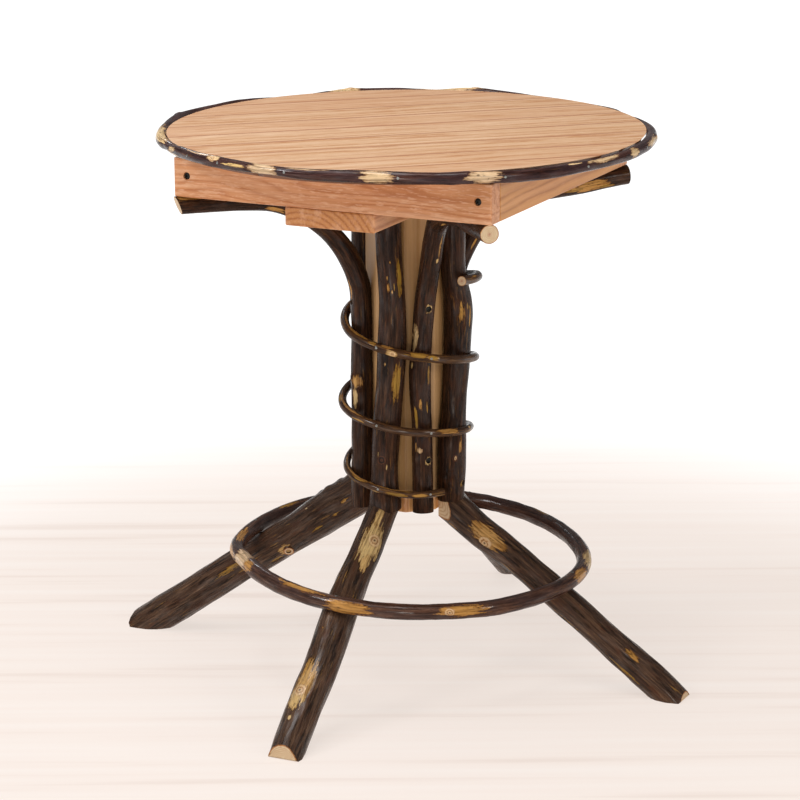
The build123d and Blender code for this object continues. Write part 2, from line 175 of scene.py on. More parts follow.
barkBase = {
    "fibre": 4.5, "flake": 10, "furrow": 9, "crackShare": 0.7, "tear": 3.5, "thread": "#96692f",
    "fibreStops": [(0.34, "#160c07"), (0.46, "#2b1a10"), (0.56, "#40291a"), (0.7, "#65442d")],
    "threadShare": 0.35, "warm": "#4f2812", "warmShare": 0.45, "grey": "#241713", "greyShare": 0.45,
    "seam": "#7a4a17", "islandShare": 0.7, "bump": 0.8, "roughLow": "#6a6a6a", "roughHigh": "#a8a8a8",
    "shine": 0.05, "lacquer": 0.25, "lacquerRough": 0.2,
}
poleBark = makeBark("lacqueredHickoryPoleBark", barkBase)
legBark = makeBark("lacqueredHickoryRoughBark", dict(
    barkBase, bump=1.5, fibre=5, flake=12, warmShare=0.5, greyShare=0.4, grey="#33261f", threadShare=0.7,
    lacquer=0.5, thread="#a5793a",
    fibreStops=[(0.3, "#281a12"), (0.44, "#422f24"), (0.58, "#5d4534"), (0.72, "#886a51")]))
hoopBark = makeBark("lacqueredHickoryRodBark", dict(
    barkBase, bump=0.45, crackShare=0.25, lacquer=0.5, lacquerRough=0.14, grey="#3c2b2a", warmShare=0.3,
    threadShare=0.2, fibreStops=[(0.34, "#1c110d"), (0.46, "#3c2820"), (0.56, "#573d31"),
                                 (0.7, "#7b5a48")]))
rimBark = makeBark("lacqueredHickoryRimBark", dict(
    barkBase, bump=0.4, crackShare=0.2, lacquer=0.5, lacquerRough=0.14, grey="#33262a", warmShare=0.25,
    threadShare=0.15, fibreStops=[(0.34, "#170b09"), (0.46, "#2e1a17"), (0.56, "#452c28"),
                                  (0.7, "#654840")]))
twigBark = makeBark("lacqueredHickoryTwigBark", dict(
    barkBase, fibre=3.5, flake=7, bump=0.4, crackShare=0.15, lacquer=0.6, lacquerRough=0.14, tear=3,
    warm="#5a3a16", warmShare=0.5, threadShare=0.7, thread="#a67c36",
    fibreStops=[(0.34, "#1c100a"), (0.46, "#3b2719"), (0.56, "#5a3d26"), (0.7, "#85602c")]))


ringScale = 0.314  # a wave texture of scale 0.314 / width draws its rings that width apart


def makeSawnEnd():
    # Freshly sawn hickory end: cream wood with faint growth rings, pink pith and fine checks
    material, tree = newMaterial("sawnHickoryEnd")
    place = addNode(tree, "Attribute", attribute_name="grainPlace")["Vector"]
    flat = addNode(tree, "Mapping", {"Vector": place, "Scale": (1, 1, 0)})[0]
    wave = addNode(tree, "TexWave", {
        "Vector": flat, "Scale": ringScale / (3.4 * mm), "Distortion": 2.5, "Detail": 2.0,
        "Detail Scale": 1.2,
    }, wave_type="RINGS", rings_direction="Z")["Fac"]  # growth rings 3.4 mm apart
    mottle = addNode(tree, "TexNoise", {"Vector": flat, "Scale": 130.0, "Detail": 4.0})["Fac"]
    away = addNode(tree, "VectorMath", {0: flat}, operation="LENGTH")["Value"]
    colour = addNode(tree, "ValToRGB", {"Fac": wave}, [(0, "#d6bf9b"), (0.7, "#cfb48e"),
                                                       (1, "#b89571")])["Color"]
    colour = layOver(tree, colour, "#b58762", mottle, [(0.45, 0), (0.7, 0.4)])
    colour = layOver(tree, colour, "#a55f48", away, [(0.0018, 0.8), (0.0045, 0)])
    dressSurface(tree, {"Base Color": colour, "Roughness": 0.6}, mottle, 0.25, 0.6)
    return material


sawnEnd = makeSawnEnd()


def makeInnerBark(name, stops):
    # Mottled cut fibre: the bark's edge round a sawn end, or the wall of a drilled hole
    material, tree = newMaterial(name)
    place = addNode(tree, "TexCoord")["Object"]
    mottle = addNode(tree, "TexNoise", {"Vector": place, "Scale": 400.0, "Detail": 3.0})["Fac"]
    colour = addNode(tree, "ValToRGB", {"Fac": mottle}, stops)["Color"]
    dressSurface(tree, {"Base Color": colour, "Roughness": 0.65})
    return material


innerBark = makeInnerBark("cutInnerBark", [(0.3, "#5c3517"), (0.5, "#9c5f2a"), (0.75, "#bd8440")])
# painted shade: the wall of a bored hole is painted near black, darker than the bark it cuts, as the shade
# deep in the hole
boreShade = makeInnerBark("boreShadeThroughBark", [(0.3, "#1d120b"), (0.7, "#4a3220")])
drilledWood = makeInnerBark("drilledWood", [(0.3, "#5e4227"), (0.7, "#94703f")])


def makeBoards(name, look):
    # Planed wood under satin lacquer: growth layers cut by the saw, pores and short ray flecks
    material, tree = newMaterial(name)
    place = addNode(tree, "TexCoord")["Object"]
    turned = addNode(tree, "Mapping", {
        "Vector": place, "Location": look["pith"], "Rotation": look["turn"],
    }, vector_type="TEXTURE")[0]  # the turned vector has its X along the grain
    source, ringPlace = turned, turned
    if look.get("boardWidth"):
        # every glued board is a log of its own: its rings start from another pith
        width = look["boardWidth"]
        split = addNode(tree, "SeparateXYZ", {"Vector": turned})
        board = addUp(tree, -look["firstJoint"] / width, (split["Y"], 1 / (width * mm)))
        number = addNode(tree, "Math", {0: board}, operation="FLOOR")[0]
        part = addNode(tree, "Math", {0: board}, operation="FRACT")[0]
        inside = addUp(tree, -0.5, (part, 1.0))
        chance = addNode(tree, "TexWhiteNoise", {"W": number}, noise_dimensions="1D")["Color"]
        draws = addNode(tree, "SeparateColor", {"Color": chance})
        sideways = addUp(tree, -0.08, (draws[0], 0.16), (inside, width * mm))
        below = addUp(tree, 0.03, (draws[1], 0.06))
        ahead = addUp(tree, split["X"], (draws[2], 3.0))
        ringPlace = addNode(tree, "CombineXYZ", {"X": ahead, "Y": sideways, "Z": below})[0]
        source = addNode(tree, "CombineXYZ", {"X": ahead, "Y": split["Y"], "Z": split["Z"]})[0]
    warp = addUp(tree, 0, (addMarks(tree, source, 60, 420, 2.0, axis=0), look["warp"] * mm))
    drift = addNode(tree, "CombineXYZ", {"Y": warp, "Z": warp})[0]
    bent = addNode(tree, "VectorMath", {0: ringPlace, 1: drift}, operation="ADD")[0]
    across = addNode(tree, "Mapping", {"Vector": bent, "Scale": (0.02, 1, 1)})[0]
    rings = addNode(tree, "TexWave", {
        "Vector": across, "Scale": ringScale / (look["ring"] * mm), "Distortion": look["waver"],
        "Detail": 3.0, "Detail Scale": 1.5, "Detail Roughness": 0.6,
    }, wave_type="RINGS", rings_direction="X")["Fac"]
    colour = addNode(tree, "ValToRGB", {"Fac": rings}, look["ringStops"])["Color"]
    # streaks, pale bands, ray flecks and pores, drawn coarser to show: width, length in widths,
    # detail, roughness, shift, where they start and are full, share, colour
    for width, longer, detail, rough, shift, low, high, share, tone in (
            (look["streak"], 50, 5.0, 0.65, (0, 0, 0), 0.5, 0.68, look["streakShare"], look["streakColour"]),
            (look["streak"] * 2, 30, 3.0, 0.6, (7, 3, 1), 0.5, 0.7, 0.5, look["fleckColour"]),
            (look["fleck"], 7, 3.0, 0.6, (0, 0, 0), 0.52, 0.62, look["fleckShare"], look["fleckColour"]),
            (look["pore"], 18, 2.0, 0.5, (3, 1, 2), 0.58, 0.72, look["poreShare"], look["poreColour"])):
        marks = addMarks(tree, source, width, width * longer, detail, rough, 0, shift)
        colour = layOver(tree, colour, tone, marks, [(low, 0), (high, share)])
    if look.get("boardWidth"):
        # each board has its own tone, and a thin reddish glue line at its joint
        colour = layOver(tree, colour, look["boardTone"], draws[0], [(0, 0), (1, 0.45)])
        edge = 0.5 - look["jointWidth"] / 2 / look["boardWidth"]
        fromMiddle = addNode(tree, "Math", {0: inside}, operation="ABSOLUTE")[0]
        colour = layOver(tree, colour, look["jointColour"], fromMiddle, [(edge - 0.008, 0),
                                            (edge + 0.008, 0.75)])
        # painted shade: the turned edge under the bark twig is painted dark, as the twig's shadow on it
        level = addNode(tree, "Mapping", {"Vector": place, "Scale": (1, 1, 0)})[0]
        away = addNode(tree, "VectorMath", {0: level}, operation="LENGTH")["Value"]
        height = addNode(tree, "SeparateXYZ", {"Vector": place})["Z"]
        low = addNode(tree, "Math", {0: height, 1: look["edgeShadeTop"] * mm}, operation="LESS_THAN")[0]
        outside = addNode(tree, "Math", {0: away, 1: look["edgeShadeFrom"] * mm}, operation="GREATER_THAN")[0]
        side = addUp(tree, 0, (outside, low))
        colour = addNode(tree, "Mix", {0: side, 6: colour, 7: look["edgeShadeColour"]}, data_type="RGBA")[2]
    dressSurface(tree, {
        "Base Color": colour, "Roughness": look["rough"], "Specular IOR Level": 0.35,
        "Coat Weight": look["lacquer"], "Coat Roughness": 0.35,
    }, addUp(tree, 0, (marks, -0.6), (rings, 0.3)))
    return material


right = math.pi / 2  # a quarter turn, for boards whose grain runs another way
topWood = makeBoards("planedHickoryTop", {  # lines up to 14 mm wide, to show on a surface seen flat
    "turn": (0, 0, math.radians(42)), "pith": (0, 0, 0), "ring": 15, "warp": 60, "waver": 2.5,
    "ringStops": [(0.0, "#c69f7a"), (0.6, "#c19770"), (0.88, "#b8895f"), (1.0, "#ae7a50")],
    "streak": 10, "streakShare": 0.55, "streakColour": "#aa6f46", "fleckShare": 0.35,
    "fleckColour": "#dcbd9e", "fleck": 4, "pore": 4, "poreShare": 0.4, "poreColour": "#a0643f",
    "rough": 0.5, "lacquer": 0.1, "boardWidth": 104.2, "firstJoint": 42.7, "boardTone": "#bf8f6b",
    # painted shade on the turned edge under the bark twig: where it starts, how high it reaches, and its
    # colour
    "jointColour": "#8f5130", "jointWidth": 6.5, "edgeShadeFrom": 420, "edgeShadeTop": 1065.5, "edgeShadeColour": "#6b3f22",
})
apronLook = {
    "turn": (0, 0, 0), "pith": (0, -0.2, 1.1), "ring": 14, "warp": 70, "waver": 1.6,
    "ringStops": [(0.0, "#c98a5c"), (0.6, "#c38353"), (0.9, "#b97645"), (1.0, "#af6c3d")],
    "streak": 9, "streakShare": 0.35, "streakColour": "#a5603a", "fleckShare": 0.55, "fleckColour": "#dcab87",
    "fleck": 3, "pore": 3, "poreShare": 0.3, "poreColour": "#935633", "rough": 0.5, "lacquer": 0.1,
}
apronWood = makeBoards("planedHickoryApronLong", apronLook)
apronSideWood = makeBoards("planedHickoryApronSide", dict(
    apronLook, turn=(0, 0, right), pith=(0.24, 0, 1.12), warp=25, waver=1.0, fleckShare=0.25,
    fleckColour="#cf9663", streakShare=0.25, streakColour="#9a602f", poreColour="#9a602f",
    ringStops=[(0.0, "#c88c4c"), (0.6, "#c18343"), (0.9, "#b27335"), (1.0, "#a86a2e")]))
battenWood = makeBoards("planedHickoryBatten", dict(
    apronLook, turn=(0, 0, right), pith=(-0.06, 0, 0.86), ring=11, warp=10, waver=1.2, fleckShare=0.2,
    streakShare=0.25, ringStops=[(0.0, "#c0824a"), (0.6, "#b97942"), (0.88, "#ab6b37"), (1.0, "#a2622f")]))
postWood = makeBoards("planedPinePost", dict(
    apronLook, turn=(0, -right, 0), pith=(0.16, 0.14, 0), ring=26, warp=20, waver=1.0, rough=0.55,
    streakColour="#866242", streakShare=0.35, fleckShare=0.15, fleckColour="#b9976f", poreColour="#7d5838",
    poreShare=0.2, ringStops=[(0.0, "#b78d5c"), (0.6, "#b18756"), (0.9, "#a77c4c"), (1.0, "#9f7546")]))
blockWood = makeBoards("planedHickoryBlock", dict(
    apronLook, turn=(0, -right, 0), pith=(0.0, 0.0, 0), ring=8,
    ringStops=[(0.0, "#d39a56"), (0.6, "#cb8f4c"), (0.9, "#ba7c3d"), (1.0, "#ae7033")]))


def makeMetal(name, tint, scratch, rough, metallic=1.0):
    material, tree = newMaterial(name)
    place = addNode(tree, "TexCoord")["Object"]
    grit = addNode(tree, "TexNoise", {"Vector": place, "Scale": 1 / (1.5 * mm), "Detail": 3.0})["Fac"]
    colour = addNode(tree, "ValToRGB", {"Fac": grit}, [(0.3, scratch), (0.7, tint)])["Color"]
    dressSurface(tree, {"Base Color": colour, "Metallic": metallic, "Roughness": rough}, grit, 0.15, 0.2)
    return material


brightNail = makeMetal("brightWireNail", "#a3a5a2", "#77766f", 0.42)  # drawn steel, a small bright dot
blackScrew = makeMetal("blackPhosphateScrew", "#15130f", "#26221c", 0.4, 0.6)  # dark oiled coating
zincBolt = makeMetal("zincPlatedBolt", "#b9bbb8", "#8d8f8c", 0.38)  # dull silver plating
print("materials made")


def smoothLine(rows, step, closed=False):
    # even steps along a smooth line through rows of x, y, z, diameter
    points = np.array(rows, float)
    if closed:
        points = np.vstack([points[-2:], points, points[:3]])
    gaps = np.linalg.norm(np.diff(points[:, :3], axis=0), axis=1)
    at = np.concatenate([[0], np.cumsum(gaps)])
    slope = np.gradient(points, at, axis=0)
    first, last = (at[2], at[-3]) if closed else (0, at[-1])
    along = np.linspace(first, last, max(2, int(round((last - first) / step))) + 1)
    i = np.clip(np.searchsorted(at, along, side="right") - 1, 0, len(gaps) - 1)
    h = gaps[i][:, None]
    t = ((along - at[i]) / gaps[i])[:, None]
    line = (
        (2 * t**3 - 3 * t**2 + 1) * points[i] + (t**3 - 2 * t**2 + t) * h * slope[i]
        + (3 * t**2 - 2 * t**3) * points[i + 1] + (t**3 - t**2) * h * slope[i + 1]
    )
    return line, along - first


def turnFrames(line, closed):
    # a side and an up direction at each step, carried along the line without twist
    ahead = np.gradient(line[:, :3], axis=0)
    if closed:
        ahead[0] = ahead[-1] = line[1, :3] - line[-2, :3]
    ahead /= np.linalg.norm(ahead, axis=1)[:, None]
    start = np.cross(ahead[0], (0, 0, 1))
    if np.linalg.norm(start) < 0.3:
        start = np.array((1.0, 0, 0))
    side = np.zeros_like(ahead)
    for k in range(len(ahead)):
        start = start - ahead[k] * start.dot(ahead[k])
        start /= np.linalg.norm(start)
        side[k] = start
    return ahead, side, np.cross(ahead, side)


deepBark = -1.6  # how far from bare the bark is away from its peeled patches


def makePole(name, rows, look, cuts=(), closed=False):
    # a natural round pole: a sheet rolled round its line, with lumps, knots and peeled patches
    # patches are spot, length, width, hue, strength; knots are spot, size, swell, ring width, hollow
    line, along = smoothLine(rows, look["step"], closed)
    ahead, side, up = turnFrames(line, closed)
    rings, sides = len(line), look["sides"]
    bm = bmesh.new()
    bmesh.ops.create_grid(bm, x_segments=rings - 1, y_segments=sides, size=0.5)
    place = bm.verts.layers.float_vector.new("grainPlace")
    layers = [bm.verts.layers.float.new(key) for key in ("bare", "tone", "knotRing")]
    verts = list(bm.verts)
    ringAt = np.array([int(round((v.co.x + 0.5) * (rings - 1))) for v in verts])
    turn = np.array([int(round((v.co.y + 0.5) * sides)) % sides for v in verts]) * 2 * math.pi / sides
    radius = line[ringAt, 3] / 2
    reach = np.cos(turn)[:, None] * side[ringAt] + np.sin(turn)[:, None] * up[ringAt]
    base = line[ringAt, :3] + reach * radius[:, None]
    at = along[ringAt]
    bare = np.full(len(verts), deepBark)
    tone, knotRing, swell = np.zeros((3, len(verts)))

    def spotDistance(spot, length, width):
        # how far each vertex lies from the vertex nearest to the spot, in half lengths and half widths
        centre = int(np.argmin(((base - np.array(spot)) ** 2).sum(1)))
        run = at - at[centre]
        if closed:
            run = (run + along[-1] / 2) % along[-1] - along[-1] / 2
        swing = (turn - turn[centre] + math.pi) % (2 * math.pi) - math.pi
        return np.sqrt((run / (length / 2)) ** 2 + (radius * swing / (width / 2)) ** 2)

    for spot, length, width, hue, strength in look.get("patches", ()):
        depth = 1 - spotDistance(spot, length, width)
        depth = np.where(depth > 0, depth * 2.4, depth * 3.2) - 1.1 * (1 - strength)
        tone = np.where(depth > bare, hue, tone)
        bare = np.maximum(bare, np.clip(depth, deepBark, 1.5))
    for spot, size, height, ringed, hollow in look.get("knots", ()):
        far = spotDistance(spot, size * 1.15, size)
        swell += height * np.exp(-((far * 1.1) ** 2)) - hollow * np.exp(-((far * 2.4) ** 4))
        if ringed:
            knotRing = np.maximum(knotRing, np.clip(1 - far / ringed, 0, 1))

    seed, lump, ridge = look["seed"] * 37.1, look["lump"], look["ridge"]
    flatX, flatY = radius * np.cos(turn), radius * np.sin(turn)
    whole = along[-1] / (2 * math.pi) if closed else 1
    push = swell - 0.5 * np.clip(bare * 4, 0, 1)
    for n in range(len(verts)):
        if closed:  # noise is read round a circle, so that the two ends of the hoop meet
            x, z = flatX[n] + whole * math.cos(at[n] / whole), whole * math.sin(at[n] / whole)
        else:
            x, z = flatX[n], at[n]
        y = flatY[n]
        push[n] += lump * noise.noise(Vector((x / 34 + seed, y / 34, z / 85)))
        push[n] += 0.5 * lump * noise.noise(Vector((x / 15, y / 15 + seed, z / 40)))
        push[n] += ridge * noise.noise(Vector((x / 5, y / 5, z / 42 + seed)))
    final = (base + reach * push[:, None]) * mm
    for n, v in enumerate(verts):
        v.co = final[n]
        v[place] = (flatX[n] * mm, flatY[n] * mm, (at[n] + 80 * seed) * mm)
        for layer, values in zip(layers, (bare, tone, knotRing)):
            v[layer] = values[n]
    bmesh.ops.remove_doubles(bm, verts=bm.verts, dist=0.00002)
    for f in bm.faces:
        f.smooth = True

    def closeEnds():
        openEdges = [e for e in bm.edges if e.is_boundary]
        if openEdges:
            for f in bmesh.ops.holes_fill(bm, edges=openEdges, sides=0)["faces"]:
                f.smooth, f.material_index = False, 1
            for e in openEdges:
                e.smooth = False

    closeEnds()
    for point, normal in cuts:  # saw cuts, the normal points to what is cut away
        bmesh.ops.bisect_plane(
            bm, geom=bm.verts[:] + bm.edges[:] + bm.faces[:], dist=0.000001,
            plane_co=Vector(point) * mm, plane_no=Vector(normal), clear_outer=True)
        closeEnds()
    ends = [f for f in bm.faces if f.material_index == 1]
    if ends:
        # the bark shows as a thin edge round the sawn wood
        edge = bmesh.ops.inset_individual(
            bm, faces=ends, thickness=look.get("barkEdge", 1.5) * mm, use_even_offset=True)
        for f in edge["faces"]:
            f.smooth = False
            f.material_index = 2 if any(o.material_index == 0 for e in f.edges for o in e.link_faces) else 1
    bmesh.ops.recalc_face_normals(bm, faces=bm.faces)
    return makeObject(name, bm, [look["bark"], sawnEnd, innerBark])


def makeObject(name, bm, materials):
    mesh = bpy.data.meshes.new(name)
    bm.to_mesh(mesh)
    bm.free()
    for material in materials:
        mesh.materials.append(material)
    piece = bpy.data.objects.new(name, mesh)
    bpy.context.scene.collection.objects.link(piece)
    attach(piece, "root")
    return piece


def applyModifiers(piece):
    # bakes the live modifiers into the mesh
    bpy.context.view_layer.update()
    shape = piece.evaluated_get(bpy.context.evaluated_depsgraph_get())
    mesh = bpy.data.meshes.new_from_object(shape)
    piece.modifiers.clear()
    old = piece.data
    piece.data = mesh
    bpy.data.meshes.remove(old)
    mesh.name = piece.name


def addDisc(bm, point, outward, diameter, low, high, sides):
    # a round disc that faces outward, from low to high above the point, in millimetres
    turn = Vector(outward).to_track_quat("Z", "Y").to_matrix().to_4x4()
    middle = Matrix.Translation((0, 0, (low + high) / 2 * mm))
    disc = bmesh.ops.create_cone(
        bm, cap_ends=True, segments=sides, radius1=diameter / 2 * mm, radius2=diameter / 2 * mm,
        depth=(high - low) * mm, matrix=Matrix.Translation(Vector(point) * mm) @ turn @ middle)
    return disc, (turn @ Vector((0, 0, 1))).normalized()


def boreHole(piece, point, outward, diameter, depth, material, clear=20, sides=28):
    # a flat-bottomed hole bored into the piece from outside, by a cutter that stands clear of it
    bm = bmesh.new()
    addDisc(bm, point, outward, diameter, -depth, clear, sides)
    mesh = bpy.data.meshes.new("cutter")
    bm.to_mesh(mesh)
    bm.free()
    mesh.materials.append(material)
    cutter = bpy.data.objects.new("cutter", mesh)
    bpy.context.scene.collection.objects.link(cutter)
    cut = piece.modifiers.new("bore", "BOOLEAN")
    cut.operation, cut.object, cut.solver = "DIFFERENCE", cutter, "EXACT"
    cut.material_mode = "TRANSFER"
    applyModifiers(piece)
    bpy.data.objects.remove(cutter)


def findSurface(piece, start, direction):
    # the point, in millimetres, where a line from outside first meets the piece
    mesh = piece.data
    tree = BVHTree.FromPolygons([v.co for v in mesh.vertices], [p.vertices for p in mesh.polygons])
    return tree.ray_cast(Vector(start) * mm, Vector(direction).normalized())[0] / mm


def heading(angle, rise=0.0):
    # level direction at an angle in degrees, or one that also rises
    return Vector((math.cos(math.radians(angle)), math.sin(math.radians(angle)), rise)).normalized()


battenBottom, apronBottom, saplingFoot, braceFoot = 932.0, 967.0, 343.0, 325.0
poles = {}

# upright saplings: x, y, height and diameter of the centre line from the batten down to the sawn foot,
# shifts from the flat of the post that they stand on, and screws as distance aside and height
saplings = {
    "frontSapling": {
        "node": "sapling_front", "seed": 1, "angle": -90, "screws": [(0, 892.5)],
        "patches": [
            ((35, -107, 800), 74, 12, 1.0, 0.9), ((29, -118, 784), 18, 4, 0.9, 0.8),
            ((21, -119, 831), 6, 4, 0.8, 1), ((17, -122, 801), 9, 3, 0.8, 1),
            ((26, -120, 775), 7, 3, 0.6, 1), ((33, -115, 598), 78, 20, 0.9, 0.9),
            ((13, -127, 634), 9, 3, 0.5, 1), ((19, -122, 782), 30, 8, 0.6, 0.2),
            ((-3, -125, 451), 15, 2, 0.3, 0.6), ((13, -119, 427), 18, 2, 0.3, 0.6),
        ],
        "knots": [
            ((5, -124, 441), 24, 1.2, 0.9, 0), ((10, -118, 351), 20, 2, 0, 0),
            ((24, -118, 700), 30, 1.2, 0, 0),
        ],
        "rows": [
            (8, 0, 940, 50), (8, 0, 874, 49.7), (12.5, 0, 801, 49.4), (15.5, 0, 753, 50.6),
            (16.5, 0, 704, 53.6), (15, 0, 655, 55), (10, 0, 580, 53.7), (7, 0, 545, 54.2),
            (1, 0, 470, 53), (-2, 0, 420, 51.5), (-1.5, 0, 380, 55), (0.5, 0, 356, 61), (1, 0, 330, 63),
        ],
    },
    "rightSapling": {
        "node": "sapling_right", "seed": 2, "angle": 0, "screws": [(0, 892.5), (-12, 381.5)],
        "patches": [
            ((118, -4, 719), 56, 18, 0.7, 0.25), ((126, 8, 730), 15, 5, 0.9, 1),
            ((128, 15, 709), 66, 6, 0.7, 0.5), ((118, -34, 436), 12, 12, 0.4, 0.0),
            ((125, -22, 460), 44, 10, 0.6, 0.2), ((125, -20, 382), 16, 8, 0.9, 0.9),
        ],
        "knots": [
            ((111, -37, 403), 14, 4, 0, 2), ((109, -37, 375), 14, 3.5, 0, 0),
            ((124, -25, 390), 13, 2.5, 0, 2), ((118, -34, 436), 14, 1.5, 1.1, 0),
            ((98, -40, 392), 12, 3, 0, 0), ((118, -30, 362), 16, 2.5, 0, 0),
        ],
        "rows": [
            (0, 4, 940, 46), (0, 4, 873, 47), (0, 5, 800, 48), (0, 12, 765, 51), (0, 17, 739, 54.6),
            (0, 19, 715, 56), (0, 19, 665, 53.5), (0, 13.5, 589, 50.5), (0, 10, 555, 48.3),
            (0, 2, 504, 50), (0, -11, 454, 56), (0, -12, 403, 55), (0, -12, 364, 53), (0, -12, 330, 51),
        ],
    },
    "backSapling": {
        "node": "sapling_back", "seed": 3, "angle": 90, "screws": [(0, 892.5), (0, 381.5)],
        "patches": [
            ((14, 124, 780), 90, 12, 0.9, 0.8), ((-4, 124, 520), 60, 16, 0.6, 0.6),
            ((20, 116, 430), 26, 8, 0.3, 1),
        ],
        "knots": [((-8, 122, 650), 20, 3, 1.0, 0), ((12, 120, 400), 16, 2.5, 0, 1)],
        "rows": [
            (4, 0, 940, 46), (6, 0, 830, 47), (7, 0, 700, 49), (2, 0, 560, 50), (1, 0, 430, 48),
            (3, 0, 330, 52),
        ],
    },
    "leftSapling": {
        "node": "sapling_left", "seed": 4, "angle": 180, "screws": [(0, 892.5), (0, 381.5)],
        "patches": [
            ((-81, -14, 792), 34, 9, 1.0, 0.5), ((-78, -11, 825), 40, 10, 0.6, 0.15),
            ((-116, 4, 660), 70, 12, 0.7, 0.8), ((-114, -6, 450), 40, 14, 0.4, 0.7),
        ],
        "knots": [((-116, 2, 560), 18, 3, 1.1, 0)],
        "rows": [
            (0, -5, 940, 44), (0, -4, 820, 43), (0, -3, 700, 43), (0, -4, 560, 43), (0, 1, 430, 42),
            (0, 0, 330, 45),
        ],
    },
}
coreFlat, flat = 74.0, 1.5  # middle of the post to its flat, and how far a pole's back is planed
poleLook = {"bark": poleBark, "step": 2.5, "sides": 64, "lump": 1.1, "ridge": 0.35}
for name, sapling in saplings.items():
    out = heading(sapling["angle"])
    rows = []
    for x, y, z, d in sapling["rows"]:
        away = coreFlat + d / 2 - flat
        rows.append((x + out.x * away, y + out.y * away, z, d))
    cuts = [((0, 0, battenBottom), (0, 0, 1)), ((0, 0, saplingFoot), (0.04, 0.05, -1))]
    poles[name] = makePole(name, rows, {**poleLook, **sapling}, cuts)
    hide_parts(sapling["node"])
print("saplings made")

